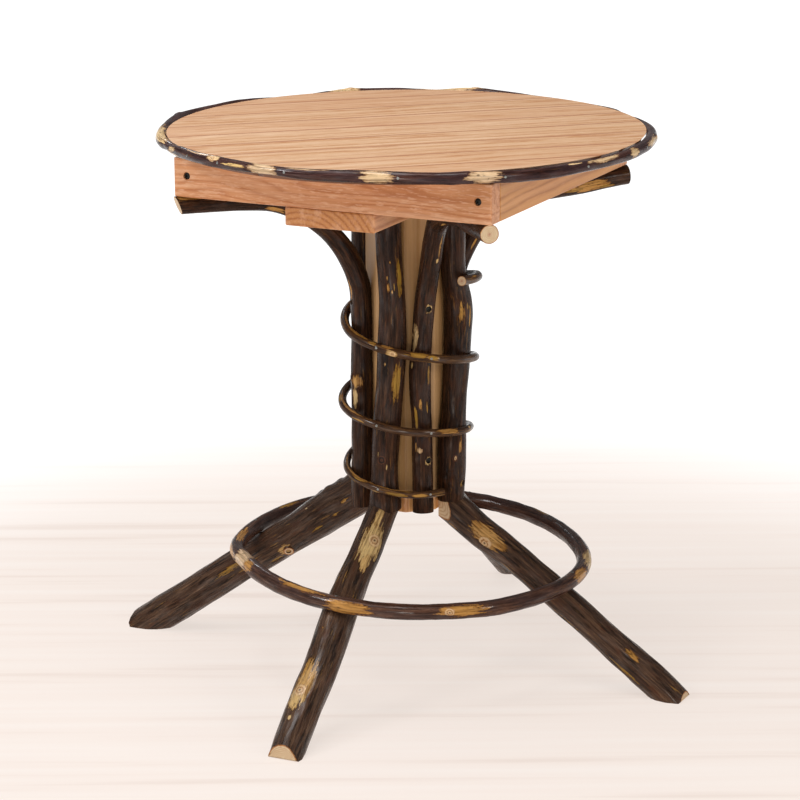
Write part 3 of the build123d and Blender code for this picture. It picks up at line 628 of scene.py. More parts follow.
# bent braces: distance out, sway, height and diameter, on the post's diagonal flats; the end is how far
# out the saw cuts and how much the cut leans
braces = {
    "frontRightBrace": {
        "node": "brace_front_right", "seed": 5, "angle": -45, "screws": [(4.2, 436.5), (4.2, 737)],
        "patches": [
            ((158, -171, 912), 40, 7, 0.45, 1), ((118, -100, 868), 60, 5, 0.45, 1),
            ((111, -91, 836), 13, 6, 0.3, 1), ((58, -85, 682), 54, 17, 0.15, 1.0),
            ((51, -88, 627), 13, 6, 0.3, 1), ((81, -75, 605), 56, 5, 0.9, 1),
            ((70, -87, 549), 28, 7, 0.6, 0.8), ((60, -87, 522), 56, 6, 0.9, 1),
            ((79, -78, 544), 22, 4, 0.8, 0.7), ((85, -79, 737), 18, 15.5, 0.25, 1.0),
            ((84, -78, 436), 18, 15.5, 0.25, 1.0), ((59, -86, 466), 22, 5, 0.5, 0.8),
            ((68, -86, 457), 13, 10, 0.1, 1),
        ],
        "knots": [
            ((63, -86, 439), 24, 3, 0, 0), ((70, -86, 457), 12, 1.5, 0.9, 0),
            ((64, -88, 655), 22, 1.5, 0, 0), ((80, -95, 800), 22, 1.5, 0, 0),
        ],
        "rows": [
            (91.5, -1, 300, 40.5), (91.5, -2, 403, 40), (91.5, -2.5, 444, 40.5), (91.5, -3.4, 518, 39),
            (92, -6, 553, 41), (92, -7, 602, 42.5), (92, -3, 664, 40.5), (92, 0.8, 714, 40),
            (99.5, 5, 775, 40.3), (118, 6.5, 832, 40), (141, 5, 881, 40), (168, 3, 917, 41),
            (212, 1, 940, 40), (270, 0, 948, 37), (326.5, 0, 949.3, 35.5), (390, 0, 949.5, 35),
            (480, 0, 949.5, 35),
        ],
    },
    "frontLeftBrace": {
        "node": "brace_front_left", "seed": 6, "angle": 225, "screws": [(0, 436.5), (0, 737)],
        "patches": [
            ((-304, -314, 966), 36, 16, 0.6, 1), ((-290, -305, 962), 40, 8, 0.7, 1),
            ((-178, -199, 930), 46, 12, 0.5, 0.8), ((-79, -86, 761), 62, 7, 0.5, 0.6),
            ((-66, -87, 580), 34, 26, 0.45, 0.45), ((-71, -87, 549), 44, 12, 0.2, 1.0),
            ((-85, -78, 418), 30, 6, 0.8, 0.7),
        ],
        "knots": [
            ((-66, -87, 580), 28, 4.5, 0, 0), ((-76, -84, 588), 12, 3, 0.7, 4),
            ((-62, -88, 570), 11, 3, 0.7, 4), ((-58, -88, 590), 9, 2, 0, 3),
        ],
        "rows": [
            (95, 0, 300, 41), (95, 0, 380, 41), (94, 0, 450, 41), (93.5, 0, 520, 41.5),
            (93.5, 0, 590, 42.5), (93.5, 0, 650, 41), (93, 0, 714, 41), (98.5, 1, 775, 41.5),
            (123, 2, 832, 40.5), (161, 3, 881, 37.5), (211, 2, 918, 35.5), (267, 0, 941, 35),
            (326, 0, 949, 36), (390, 0, 949.5, 35), (480, 0, 949.5, 35),
        ],
        "end": (453, -0.36),
    },
    "backRightBrace": {
        "node": "brace_back_right", "seed": 7, "angle": 45, "screws": [(0, 436.5), (0, 737)],
        "patches": [
            ((280, 253, 937), 70, 14, 0.6, 1), ((254, 229, 927), 50, 10, 0.8, 0.8),
            ((272, 262, 933), 80, 16, 0.5, 0.8), ((291, 280, 936), 50, 10, 0.9, 0.7),
            ((240, 228, 930), 60, 10, 0.6, 0.6), ((106, 79, 838), 40, 6, 0.6, 0.3),
            ((86, 78, 640), 60, 12, 0.7, 0.9), ((70, 88, 480), 40, 10, 0.3, 0.9),
        ],
        "knots": [((80, 84, 560), 20, 3, 1.0, 0)],
        "rows": [
            (91.5, 2, 300, 40), (91.5, 3, 450, 39), (91.5, -2, 600, 40), (92, 0, 714, 39),
            (99.5, 0, 775, 39), (123, 0, 832, 39), (160.3, 0, 881, 38.5), (209, 0, 914, 38),
            (265.7, 0, 927, 38.5), (303, 0, 930, 40), (337, 0, 932, 40), (379, 0, 937, 40),
            (420, 0, 943, 39.5), (458.5, 0, 947, 39), (490, 0, 949, 39),
        ],
        "end": (458.5, 0.03),
    },
    "backLeftBrace": {
        "node": "brace_back_left", "seed": 8, "angle": 135, "screws": [(0, 436.5), (0, 737)],
        "patches": [
            ((-84, 80, 700), 70, 14, 0.9, 0.9), ((-76, 86, 520), 50, 12, 0.3, 1),
            ((-190, 196, 900), 60, 10, 0.5, 0.8),
        ],
        "knots": [((-80, 84, 610), 20, 3, 1.0, 0), ((-90, 96, 800), 18, 2, 0, 1)],
        "rows": [
            (91.5, -2, 300, 39), (91.5, -3, 450, 40), (91.5, 2, 600, 39), (92, 1, 714, 40),
            (99.5, 0, 775, 39), (123, 0, 832, 39), (160.3, 0, 881, 38.5), (209, 0, 918, 37),
            (265.7, 0, 941.5, 36), (326.5, 0, 949.3, 35.5), (390, 0, 949.5, 35), (480, 0, 949.5, 35),
        ],
    },
}
for name, brace in braces.items():
    out = heading(brace["angle"])
    rows = [(u * out.x - t * out.y, u * out.y + t * out.x, z, d) for u, t, z, d in brace["rows"]]
    end, tilt = brace.get("end", (449.6, 0.03))
    cuts = [
        ((0, 0, braceFoot), (0.03, -0.04, -1)), ((end * out.x, end * out.y, 949), (out.x, out.y, tilt)),
        ((0, 0, apronBottom), (0, 0, 1)),
    ]
    poles[name] = makePole(name, rows, {**poleLook, "sides": 56, **brace}, cuts)
    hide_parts(brace["node"])
print("braces made")

# legs: side is where the leg leaves the block, foot is how far out and at what angle its axis meets the
# floor, reach is where the sole ends; rows are distance out, lift and sway off the axis, and diameter
legs = {
    "frontLeg": {
        "node": "leg_front", "seed": 9,
        "patches": [
            ((10, -149, 334), 56, 16, 0.3, 1.0), ((17, -199, 297), 112, 46, 0.25, 1.0),
            ((22, -232, 273), 60, 18, 0.35, 1.0), ((17, -484, 110), 116, 40, 0.4, 1.0),
            ((18, -510, 92), 60, 38, 0.3, 1.0), ((8, -455, 126), 60, 8, 0.7, 1.0),
            ((22, -550, 64), 14, 9, 0.2, 0.7), ((4, -380, 182), 6, 6, 0.5, 0.9),
            ((-25, -230, 262), 20, 6, 0.8, 0.2),
        ],
        "knots": [
            ((19, -191, 300), 36, 4, 0.8, 0.3), ((18, -500, 99), 34, 3.5, 0.8, 0.3),
            ((-8, -330, 200), 26, 2, 0, 0),
        ],
        "side": -90, "head": (-5, -74, 356), "foot": (585, -87.5), "reach": 598.4,
        "rows": [
            (20, 0, 0, 57), (100, 0, 0, 57), (200, 0, -1, 58), (260, 0, -3, 62), (320, 0, -1.4, 66),
            (400, 0, 2.5, 66), (480, 0, 3, 66), (560, 0, 5.5, 64), (680, 0, 6.5, 62),
        ],
    },
    "rightLeg": {
        "node": "leg_right", "seed": 10,
        "patches": [
            ((184, -27, 281), 84, 40, 0.45, 1.0), ((162, -24, 303), 30, 14, 0.5, 0.8),
            ((210, -26, 267), 36, 18, 0.5, 0.8), ((348, -22, 134), 80, 6, 0.8, 0.6),
            ((474, -26, 51), 110, 8, 0.9, 0.6), ((486, -20, 83), 60, 16, 0.6, 0.2),
            ((501, -13, 13), 60, 7, 0.9, 0.7), ((108, -27, 296), 40, 6, 0.5, 0.3),
        ],
        "knots": [
            ((179, -29, 269), 18, 4, 1.6, 2), ((194, -13, 294), 12, 3, 0, 0),
            ((400, 24, 130), 20, 3, 1, 0),
        ],
        "side": 0, "head": (74, 0, 367), "foot": (564, 0.2), "reach": 587,
        "rows": [
            (20, -22, 0, 66), (108, -20, 0, 65), (168, -17, 0, 62), (220, -10.5, 0, 58),
            (285, -7.5, 0, 57), (360, -4, 0, 57.6), (440, -2.7, 0, 58), (500, -1, 0, 60),
            (540, 0, 0, 62), (575, -1.5, 0, 59), (680, -2, 0, 58),
        ],
    },
    "backLeg": {
        "node": "leg_back", "seed": 11,
        "patches": [
            ((-18, 240, 250), 90, 20, 0.5, 0.9), ((-6, 420, 160), 70, 14, 0.7, 0.8),
            ((20, 330, 190), 60, 12, 0.3, 1),
        ],
        "knots": [((-18, 240, 250), 20, 4, 1.4, 1), ((-10, 500, 100), 18, 3, 1, 1)],
        "side": 90, "head": (0, 74, 366), "foot": (618, 93.9), "reach": 606.6,
        "rows": [
            (20, 2, 0, 56), (200, 2, 0, 54), (350, 1, 0, 56), (480, 0, 0, 58), (600, -2, 0, 60),
            (700, -2, 0, 58),
        ],
    },
    "leftLeg": {
        "node": "leg_left", "seed": 12,
        "patches": [
            ((-249, -47, 205), 30, 24, 0.4, 1.0), ((-272, -43, 180), 44, 12, 0.9, 0.35),
            ((-374, -63, 148), 90, 16, 0.9, 0.25), ((-241, -21, 205), 50, 10, 0.9, 0.3),
            ((-177, -47, 258), 40, 8, 0.9, 0.3), ((-139, -45, 290), 36, 8, 0.8, 0.3),
            ((-205, -42, 293), 6, 6, 0.1, 0.9), ((-307, -18, 215), 30, 8, 0.8, 0.2),
            ((-120, -38, 321), 40, 10, 0.7, 0.1),
        ],
        "knots": [
            ((-246, -47, 204), 30, 5, 0, 0), ((-126, -10, 366), 22, 3, 0, 0),
            ((-152, 6, 352), 18, 3, 0, 0), ((-176, -12, 338), 20, 3.5, 0, 0),
            ((-196, 4, 322), 18, 3, 0, 0), ((-340, 30, 170), 20, 3, 1, 0),
        ],
        "side": 180, "cheeks": (-1,), "worn": 6, "head": (-74, 0, 372), "foot": (576, 184.7), "reach": 603,
        "rows": [
            (20, -17, 0, 82), (120, -15, 0, 81), (160, -12.5, 0, 82), (200, -11.5, 0, 80),
            (240, -11.7, 0, 74), (300, -9, 0, 72), (360, -5, 0, 69.5), (440, -2.4, 0, 69.5),
            (520, 0, 0, 71), (560, 1.6, 0, 70.5), (680, 2.2, 0, 70),
        ],
    },
}
legTip, legCheek = 33, math.radians(25)  # width of the tip that meets the block, slope of its cheeks
legLook = dict(poleLook, bark=legBark, sides=88, lump=1.8, ridge=0.9, barkEdge=2.2)
for name, leg in legs.items():
    outward = heading(leg["side"])
    across = Vector((-outward.y, outward.x, 0))
    head, foot = Vector(leg["head"]), heading(leg["foot"][1]) * leg["foot"][0]
    run = (foot - head).normalized()
    level = Vector((-run.y, run.x, 0)).normalized()
    lift = run.cross(level)
    rows = []
    for away, rise, sway, d in leg["rows"]:
        part = (away - head.dot(outward)) / (foot - head).dot(outward)
        spot = head + (foot - head) * part + lift * rise + level * sway
        rows.append((*spot, d))
    tip = outward * coreFlat
    cuts = [(tip, -outward), ((0, 0, 0), (0, 0, -1)), (outward * leg["reach"], outward)]
    # the sole's outer edge is worn off at 45 degrees
    cuts.append((outward * (leg["reach"] - leg.get("worn", 3)), outward * 0.7 - Vector((0, 0, 0.7))))
    for turned in leg.get("cheeks", (1, -1)):  # the head is tapered where it meets its neighbours
        cuts.append((
            tip + across * turned * legTip / 2,
            across * turned * math.cos(legCheek) - outward * math.sin(legCheek)))
    poles[name] = makePole(name, rows, {**legLook, **leg}, cuts)
    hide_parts(leg["node"])

# a short sawn branch stub on the left leg, with a rotten hollow heart
stub = {
    "spot": (-244, -46, 204), "way": (0.43, -0.755, -0.49), "hole": 10.5, "depth": 7,
    "rows": [(-14, 31), (-7, 26), (-1, 22.5), (3, 21.5), (5, 21)],  # distance out and diameter
}
spot, way = Vector(stub["spot"]), Vector(stub["way"]).normalized()
poles["branchStub"] = makePole(
    "branchStub", [(*(spot + way * far), d) for far, d in stub["rows"]],
    dict(legLook, seed=17, sides=40, lump=0.4, ridge=0.2, step=2))
# the hollow heart is painted near black with the bored holes' painted shade
boreHole(poles["branchStub"], spot + way * stub["rows"][-1][0], way, stub["hole"], stub["depth"], boreShade)
print("legs made")

# foot hoop: a bent rod on a plane that leans with the legs under it; rows are angle, radius, lift, diameter
hoop = {
    "centre": (9, -2), "slope": (-0.0428, 0.0138), "height": 225.1,
    "rows": [
        (0, 342, 0, 30), (17, 341.5, 0, 30), (32, 336, 0, 31), (49, 333.5, 0, 31), (64, 336.5, 0, 31),
        (80, 342, 0, 31), (92, 345, 0, 31), (108, 345, 0, 30), (125, 342, 0, 30), (142, 340, 0, 30),
        (158, 339, -1, 30), (173, 337, -3, 30), (190, 340, -4, 29), (209, 345, -2, 30),
        (222, 336, 0, 32), (236, 334, 0, 32), (251, 337.5, 0, 31.5), (269, 343, 0, 31),
        (288, 346.5, 0, 30), (304, 344, 0, 30.5), (321, 346, 0, 30), (342, 341.5, 0, 31),
    ],
    "patches": [  # angle, length, side of the rod, width, hue, strength
        (201, 88, 105, 18, 0.5, 0.9), (211, 92, 0, 22, 0.5, 1), (223.5, 62, 30, 70, 0.0, 1),
        (231, 50, 30, 34, 0.5, 0.5), (259, 122, 75, 16, 0.55, 0.9), (277, 92, 5, 30, 0.5, 1),
        (312, 100, 15, 24, 0.55, 0.9), (3, 66, 20, 30, 0.5, 0.8), (17, 86, 30, 38, 0.2, 1),
        (63, 60, 80, 8, 0.9, 0.8), (100, 90, 60, 14, 0.6, 0.7), (135, 70, 20, 18, 0.4, 0.9),
        (165, 60, 100, 12, 0.8, 0.6),
    ],
    "knots": [
        (307.5, 10, 16, 2, 1.2, 0.5), (251, 40, 14, 1.5, 0, 0), (190, 0, 16, 1.5, 1, 0),
        (120, 10, 16, 2, 1, 0.5),
    ],
}


def ringRows(table, centre=(0, 0), slope=(0, 0), height=0.0):
    # rows round the table from angle, radius, lift and diameter
    rows = []
    for angle, radius, lifted, d in table:
        x = centre[0] + radius * math.cos(math.radians(angle))
        y = centre[1] + radius * math.sin(math.radians(angle))
        rows.append((x, y, height + slope[0] * x + slope[1] * y + lifted, d))
    return rows


def ringSpots(piece, line):
    # patches and knots given by angle and by the side of the rod: 0 outwards, 90 on top, -90 below
    angles = np.degrees(np.arctan2(line[:, 1], line[:, 0]))

    def onRod(angle, side):
        x, y, z, d = line[np.argmin(np.abs((angles - angle + 180) % 360 - 180))]
        out, up = math.cos(math.radians(side)) * d / 2, math.sin(math.radians(side)) * d / 2
        return (x + out * math.cos(math.radians(angle)), y + out * math.sin(math.radians(angle)), z + up)

    return {
        "patches": [(onRod(angle, side), length, *rest) for angle, length, side, *rest in piece["patches"]],
        "knots": [(onRod(angle, side), *rest) for angle, side, *rest in piece["knots"]],
    }


hoopLook = {"bark": hoopBark, "step": 2.8, "sides": 40, "lump": 0.8, "ridge": 0.2, "seed": 13}
hoopRows = ringRows(hoop["rows"], hoop["centre"], hoop["slope"], hoop["height"])
hoopLine = smoothLine(hoopRows, 3.0, True)[0]
hoopLook.update(ringSpots(hoop, hoopLine))
poles["footHoop"] = makePole("footHoop", hoopRows, hoopLook, closed=True)
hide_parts("foot_hoop")
print("hoop made")

# spiral twig: turn angle, radius, height, thickness, from its upper end down
spiral = {
    "turnStep": 22,
    "rows": [
        (-13, 134, 787, 19), (26, 137, 779, 18.5), (116, 130, 738, 18), (206, 121, 694, 17.5),
        (296, 131, 653, 17), (386, 132, 618, 17), (476, 128, 576, 16.5), (566, 127, 534, 16),
        (656, 131, 502, 16), (720, 126, 486, 15.5), (746, 121, 478, 15), (836, 124, 441, 15),
        (926, 119, 403, 14.5), (1016, 130, 375, 14), (1050, 122, 373, 13.5),
    ],
    "patches": [
        ((-48, -116, 684), 60, 7, 0.8, 1.0), ((-11, -132, 674), 22, 7, 0.8, 0.9),
        ((20, -131, 669), 26, 7, 0.6, 1.0), ((30, -134, 657), 24, 12, 0.3, 1.0),
        ((78, -114, 655), 34, 12, 0.85, 1.0), ((101, -96, 648), 26, 10, 0.9, 0.8),
        ((-115, -66, 539), 50, 6, 0.9, 0.5), ((-43, -130, 517), 40, 6, 0.8, 0.6),
        ((119, -63, 497), 50, 12, 0.6, 1.0), ((132, 5, 490), 14, 10, 0.3, 0.5),
        ((-48, -119, 395), 46, 6, 0.8, 0.9), ((-8, -128, 377), 22, 13, 0.35, 1.0),
        ((39, -130, 377), 44, 7, 0.9, 1.0), ((78, -109, 375), 34, 7, 0.7, 1.0),
        ((141, 7, 790), 30, 8, 0.8, 0.4), ((-122, 20, 720), 60, 8, 0.7, 0.8),
        ((20, 128, 580), 60, 9, 0.8, 0.9), ((-60, 112, 560), 40, 8, 0.5, 0.9),
        ((-75, -96, 694), 130, 6, 0.45, 0.75), ((-85, -99, 534), 150, 6, 0.6, 0.7),
        ((-80, -91, 404), 160, 5, 0.5, 0.75), ((25, -127, 390), 100, 4, 0.5, 0.6),
    ],
    "knots": [
        ((34, -134, 657), 12, 1.5, 1, 0), ((-8, -128, 377), 12, 1.2, 0, 0),
        ((101, -96, 648), 9, 1, 0, 0),
    ],
}
twigTable = np.array(spiral["rows"], float)
firstTurn, lastTurn = twigTable[0, 0], twigTable[-1, 0]
turns = np.linspace(firstTurn, lastTurn, int((lastTurn - firstTurn) / spiral["turnStep"]) + 1)
spiralRows = ringRows([
    (angle, *(float(np.interp(angle, twigTable[:, 0], twigTable[:, k])) for k in (1, 2, 3)))
    for angle in turns])
twigLook = {
    "bark": twigBark, "step": 2.4, "sides": 32, "lump": 0.7, "ridge": 0.15, "seed": 14, "barkEdge": 0.9}
poles["spiralTwig"] = makePole("spiralTwig", spiralRows, {**twigLook, **spiral})
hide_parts("spiral_twig")
print("spiral twig made")

# rim: a twig in two lengths, crooked at its knots; rows are angle, radius, lift, diameter
rim = {
    "radius": 465.5, "height": 1059.5, "scarf": 12,
    # node, first and last angle, seed, and which side of the other the scarf lies on
    "lengths": {
        "frontRim": ("rim_twig_front", -134, 47, 15, 1), "backRim": ("rim_twig_back", 47, 226, 16, -1)},
    "rows": [
        (-134, 0, 2.5, 21), (-125, 0, 2.5, 21.5), (-119, 0, 2.5, 21), (-112, 0.5, 3.5, 21.5),
        (-104, 0, 3.5, 18.5), (-95, 0.5, 3.5, 17), (-86, 0, 1.5, 20), (-75, 0.5, 2.8, 22.5),
        (-69, 0.5, 2.3, 23), (-62, 0, 0.5, 21.5), (-56, 0, -1, 22), (-51, 0.5, -1, 23),
        (-44, 0, -3.4, 22), (-38, 0, -5, 22.5), (-30, 0, -5, 22), (-20, 0.5, -4, 19.5),
        (-13, 0, -4.3, 19), (-4, 1, -3.5, 20.5), (7, 2, -2, 23), (17, 2, -1, 23), (27, 0, -1.5, 21),
        (37, -1, -4, 20), (47, -1, -5, 19), (55, 0, -3.5, 20), (64, -1, -4.5, 19), (76, -1, -4.5, 19),
        (84, 0, -3.5, 20), (91, 0, -0.5, 21), (97, 1, 2.2, 22), (101, 0.5, 1.5, 21), (107, 0, -2.5, 20),
        (112, 0, -2, 20), (118, 0, 0, 20.5), (125, 0, 0, 21), (130, 1, 2.2, 22), (136, 0, -1.5, 20),
        (142, -1, -4.5, 19), (149, -1, -4.5, 19), (155, 0, -2, 20), (163, 0.5, 1, 21),
        (172, 0.5, 0.5, 20.5), (178, 1, 1.5, 21), (187, 3, 3, 22.5), (196, 1, 0.5, 21), (206, 1, 0, 22),
        (216, 1, 0, 22), (226, 0, 1, 21),
    ],
    "patches": [  # angle, length, side of the twig, width, hue, strength
        (-131, 50, 20, 16, 0.1, 0.4), (-118.5, 105, 72, 5, 0.0, 0.9), (-130, 65, -40, 7, 0.4, 0.8),
        (-112, 34, 50, 14, 0.1, 1), (-105.5, 60, 15, 7, 0.3, 0.8), (-97, 66, 15, 32, 0.0, 0.8),
        (-86.5, 105, 72, 4, 0.0, 0.8), (-70.5, 58, 15, 32, 0.05, 0.8), (-47.5, 70, 15, 32, 0.0, 0.8),
        (-24, 34, 72, 5, 0.1, 0.9), (-14, 98, 50, 11, 0.05, 0.8), (-2, 34, 15, 26, 0.1, 0.8),
        (12, 130, 20, 20, 0.1, 0.3), (40, 60, 60, 12, 0.1, 0.6), (70, 80, 20, 16, 0.2, 0.7),
        (104, 122, 95, 36, 0.1, 0.9), (131.5, 73, 95, 36, 0.1, 0.9), (165, 70, 10, 16, 0.4, 0.7),
        (212, 220, 70, 34, 0.15, 0.6),
    ],
    "knots": [
        (-112, 45, 16, 1.2, 1.2, 0.5), (-54.5, -35, 18, 2.2, 0, 1), (-75, 30, 14, 1.2, 0, 0),
        (-44, 60, 14, 1.5, 0, 0), (98, 90, 14, 2, 1, 0.5), (130, 90, 14, 2, 1, 0.5),
        (187, 60, 18, 2, 1, 0.5), (17, 30, 14, 1.5, 1, 0),
    ],
}
rimLook = {"bark": rimBark, "step": 2.5, "sides": 36, "lump": 0.7, "ridge": 0.2, "barkEdge": 0.8}
rimTable = np.array(rim["rows"], float)
for name, (node, first, last, seed, outer) in rim["lengths"].items():
    table = []
    start, end = first - rim["scarf"] / 2, last + rim["scarf"] / 2
    for angle in np.linspace(start, end, 64):
        wide, lifted, d = (
            float(np.interp(angle, rimTable[:, 0], rimTable[:, k], period=360)) for k in (1, 2, 3))
        slim = min(1.0, 0.3 + 0.7 * min(angle - start, end - angle) / rim["scarf"])  # thinned to a long scarf
        table.append((angle, rim["radius"] + wide + outer * (1 - slim) * 6, lifted, d * slim))
    rows = ringRows(table, height=rim["height"])
    here = {
        key: [row for row in rim[key] if start < (row[0] - start) % 360 + start < end]
        for key in ("patches", "knots")}
    look = dict(rimLook, seed=seed, **ringSpots(here, smoothLine(rows, 3.0)[0]))
    poles[name] = makePole(name, rows, look)
    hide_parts(node)
print("rim made")


def copySolid(node):
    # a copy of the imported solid, its loose triangles merged
    bm = bmesh.new()
    bm.from_mesh(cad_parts[node].data)
    bmesh.ops.remove_doubles(bm, verts=bm.verts, dist=0.00001)
    for f in bm.faces:
        f.material_index = 0
    return bm


def easeEdges(name, node, material, width):
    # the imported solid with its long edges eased, so that they catch the light
    bm = copySolid(node)
    bmesh.ops.dissolve_limit(bm, angle_limit=math.radians(1), verts=bm.verts, edges=bm.edges)
    longEdges = [
        e for e in bm.edges
        if e.calc_length() > 0.02 and len(e.link_faces) == 2 and e.calc_face_angle(0) > math.radians(30)]
    bmesh.ops.bevel(
        bm, geom=longEdges, offset=width * mm, offset_type="OFFSET", segments=2, profile=0.5, affect="EDGES",
        material=-1)
    for f in bm.faces:
        f.smooth = False
    bmesh.ops.triangulate(bm, faces=bm.faces)
    piece = makeObject(name, bm, [material])
    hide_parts(node)


aprons = {"front": apronWood, "back": apronWood, "right": apronSideWood, "left": apronSideWood}
for side, wood in aprons.items():
    easeEdges(side + "Apron", "apron_" + side, wood, 2.5)
easeEdges("battenBoard", "cleat_batten", battenWood, 3.0)
easeEdges("eightSidedPost", "core_post", postWood, 1.0)
easeEdges("footBlock", "base_block", blockWood, 1.0)
print("planed pieces made")

fastener = {
    "head": 10, "socket": 4.6, "bore": 11.5, "boreDepth": 6,  # screws of the poles
    "endScrew": (419.5, 800),  # distance out and height where the line to a brace's end screw starts
    "apronHead": 12, "apronSocket": 5.5, "apronBore": 14.5, "apronDepth": 5.5, "apronHole": (297.9, 1008),
    "bolt": 15, "washer": 25, "recess": 27, "recessDepth": 40,
    "boltSeat": (120, 299.07), "boltClimb": 40,  # distance out and height of the washer, slope in degrees
    "nail": 4.8, "hoopNail": 6, "gap": 0.1,
}
farOff = 300  # millimetres out from the post, clear of the poles, where a line to a pole starts


def addHead(bm, point, outward, diameter, height, crown, socket=0.0, sides=24):
    # a fastener's head: a disc with an eased rim, a low crown and, on a screw, a driver's socket
    disc, axis = addDisc(bm, point, outward, diameter, 0, height, sides)
    faces = list({f for v in disc["verts"] for f in v.link_faces})
    top = max(faces, key=lambda f: f.calc_center_median().dot(axis))
    bmesh.ops.inset_individual(bm, faces=[top], thickness=diameter * 0.12 * mm, depth=crown * 0.6 * mm)
    bmesh.ops.inset_individual(
        bm, faces=[top], thickness=(diameter * 0.38 - max(socket / 2, diameter * 0.14)) * mm,
        depth=crown * 0.4 * mm)
    if socket:
        bmesh.ops.inset_individual(bm, faces=[top], thickness=0.15 * mm, depth=-2 * mm)


def addNail(bm, point, outward, diameter):
    addHead(bm, point - outward * 0.5, outward, diameter, 0.9, 0.6, sides=16)


def finishHeads(name, bm, node, material):
    for f in bm.faces:
        f.smooth = True
    bmesh.ops.recalc_face_normals(bm, faces=bm.faces)
    for e in bm.edges:
        e.smooth = e.calc_face_angle(0) < math.radians(38)
    piece = makeObject(name, bm, [material])
    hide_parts(node)


def seatScrew(bm, pole, start, inward):
    # bores a pole's counterbore where the line from start meets it, and seats a screw on its floor
    point = findSurface(pole, start, inward)
    boreHole(pole, point, -inward, fastener["bore"], fastener["boreDepth"], boreShade)
    addHead(
        bm, point + inward * (fastener["boreDepth"] + fastener["gap"]), -inward, fastener["head"], 2.5, 0.8,
        fastener["socket"])


# counterbored screws: every hole is bored square to the pole
for group, node, owners in (
        ("braceScrews", "brace_screws", braces), ("saplingScrews", "sapling_screws", saplings)):
    bm = bmesh.new()
    for name, pole in owners.items():
        out = heading(pole["angle"])
        for aside, z in pole["screws"]:
            start = out * farOff + Vector((-out.y, out.x, 0)) * aside + Vector((0, 0, z))
            seatScrew(bm, poles[name], start, -out)
    finishHeads(group, bm, node, blackScrew)

bm = bmesh.new()
for name, brace in braces.items():  # up through the end of each brace into the apron
    out, low = fastener["endScrew"]
    seatScrew(bm, poles[name], heading(brace["angle"]) * out + Vector((0, 0, low)), Vector((0, 0, 1)))
finishHeads("braceEndScrews", bm, "brace_end_screws", blackScrew)
print("pole screws seated")

# lag bolts of the legs: each climbs inwards from the underside of its leg, out of a long open recess
bm = bmesh.new()
for name, leg in legs.items():
    outward, slope = heading(leg["side"]), math.radians(fastener["boltClimb"])
    climb = (-outward * math.cos(slope) + Vector((0, 0, math.sin(slope)))).normalized()
    seat = outward * fastener["boltSeat"][0] + Vector((0, 0, fastener["boltSeat"][1]))
    depth = fastener["recessDepth"]
    boreHole(poles[name], seat - climb * depth, -climb, fastener["recess"], depth, drilledWood)
    addHead(bm, seat - climb * fastener["gap"], -climb, fastener["washer"], 2, 0.2)
    addHead(bm, seat - climb * (2 + fastener["gap"]), -climb, fastener["bolt"], 6, 0.6, sides=6)
finishHeads("legBolts", bm, "leg_lag_bolts", zincBolt)

# apron screws: wide counterbores near the ends of the long boards
bm = bmesh.new()
for face, out in (("frontApron", Vector((0, -1, 0))), ("backApron", Vector((0, 1, 0)))):
    apron = bpy.data.objects[face]
    aside, z = fastener["apronHole"]
    for x in (-aside, aside):
        # the board's face is found beside the hole, which runs right through the board
        beside = findSurface(apron, out * 500 + Vector((x + 12, 0, z + 10)), -out)
        point = Vector((x, beside.y, z))
        boreHole(apron, point, out, fastener["apronBore"], fastener["apronDepth"], apron.data.materials[0])
        addHead(
            bm, point - out * (fastener["apronDepth"] + 0.4), out, fastener["apronHead"], 3, 1,
            fastener["apronSocket"])
finishHeads("apronScrews", bm, "apron_screws", blackScrew)

# bright nails: domed heads just proud of the bark
nails = {
    "rim": (-121.7, -110, -91.5, -66, -42.6, -20.6, 5, 28, 52, 76, 100, 124, 148, 172, 196, 219),
    "spiral": (270, 315, 450, 630, 675, 810, 990, 1035),
    "rimRise": 0.12, "rimFar": 600, "rimOut": 468,  # the line to a rim nail: its rise, start and mark
}
bm = bmesh.new()
for angle in nails["rim"]:
    out = heading(angle, nails["rimRise"])
    twig = poles["frontRim" if angle < 47 else "backRim"]
    lifted = float(np.interp(angle, rimTable[:, 0], rimTable[:, 2], period=360))
    z = rim["height"] + lifted - nails["rimOut"] * out.z
    start = out * nails["rimFar"] + Vector((0, 0, z))
    addNail(bm, findSurface(twig, start, -out), out, fastener["nail"])
finishHeads("rimNails", bm, "rim_nails", brightNail)
bm = bmesh.new()
for angle in nails["spiral"]:
    out, z = heading(angle), float(np.interp(angle, twigTable[:, 0], twigTable[:, 2]))
    point = findSurface(poles["spiralTwig"], out * farOff + Vector((0, 0, z + 1)), -out)
    addNail(bm, point, out, fastener["nail"])
finishHeads("spiralNails", bm, "spiral_nails", brightNail)
bm = bmesh.new()
hoopAngles = np.arctan2(hoopLine[:, 1], hoopLine[:, 0])
for leg in legs.values():  # straight down through the hoop where it crosses the leg
    off = np.abs((hoopAngles - math.radians(leg["foot"][1]) + math.pi) % (2 * math.pi) - math.pi)
    x, y = hoopLine[np.argmin(off)][:2]
    point = findSurface(poles["footHoop"], (x, y, 500), (0, 0, -1))
    addNail(bm, point, Vector((0, 0, 1)), fastener["hoopNail"])
finishHeads("hoopNails", bm, "hoop_nails", brightNail)
print("nails and bolts seated")

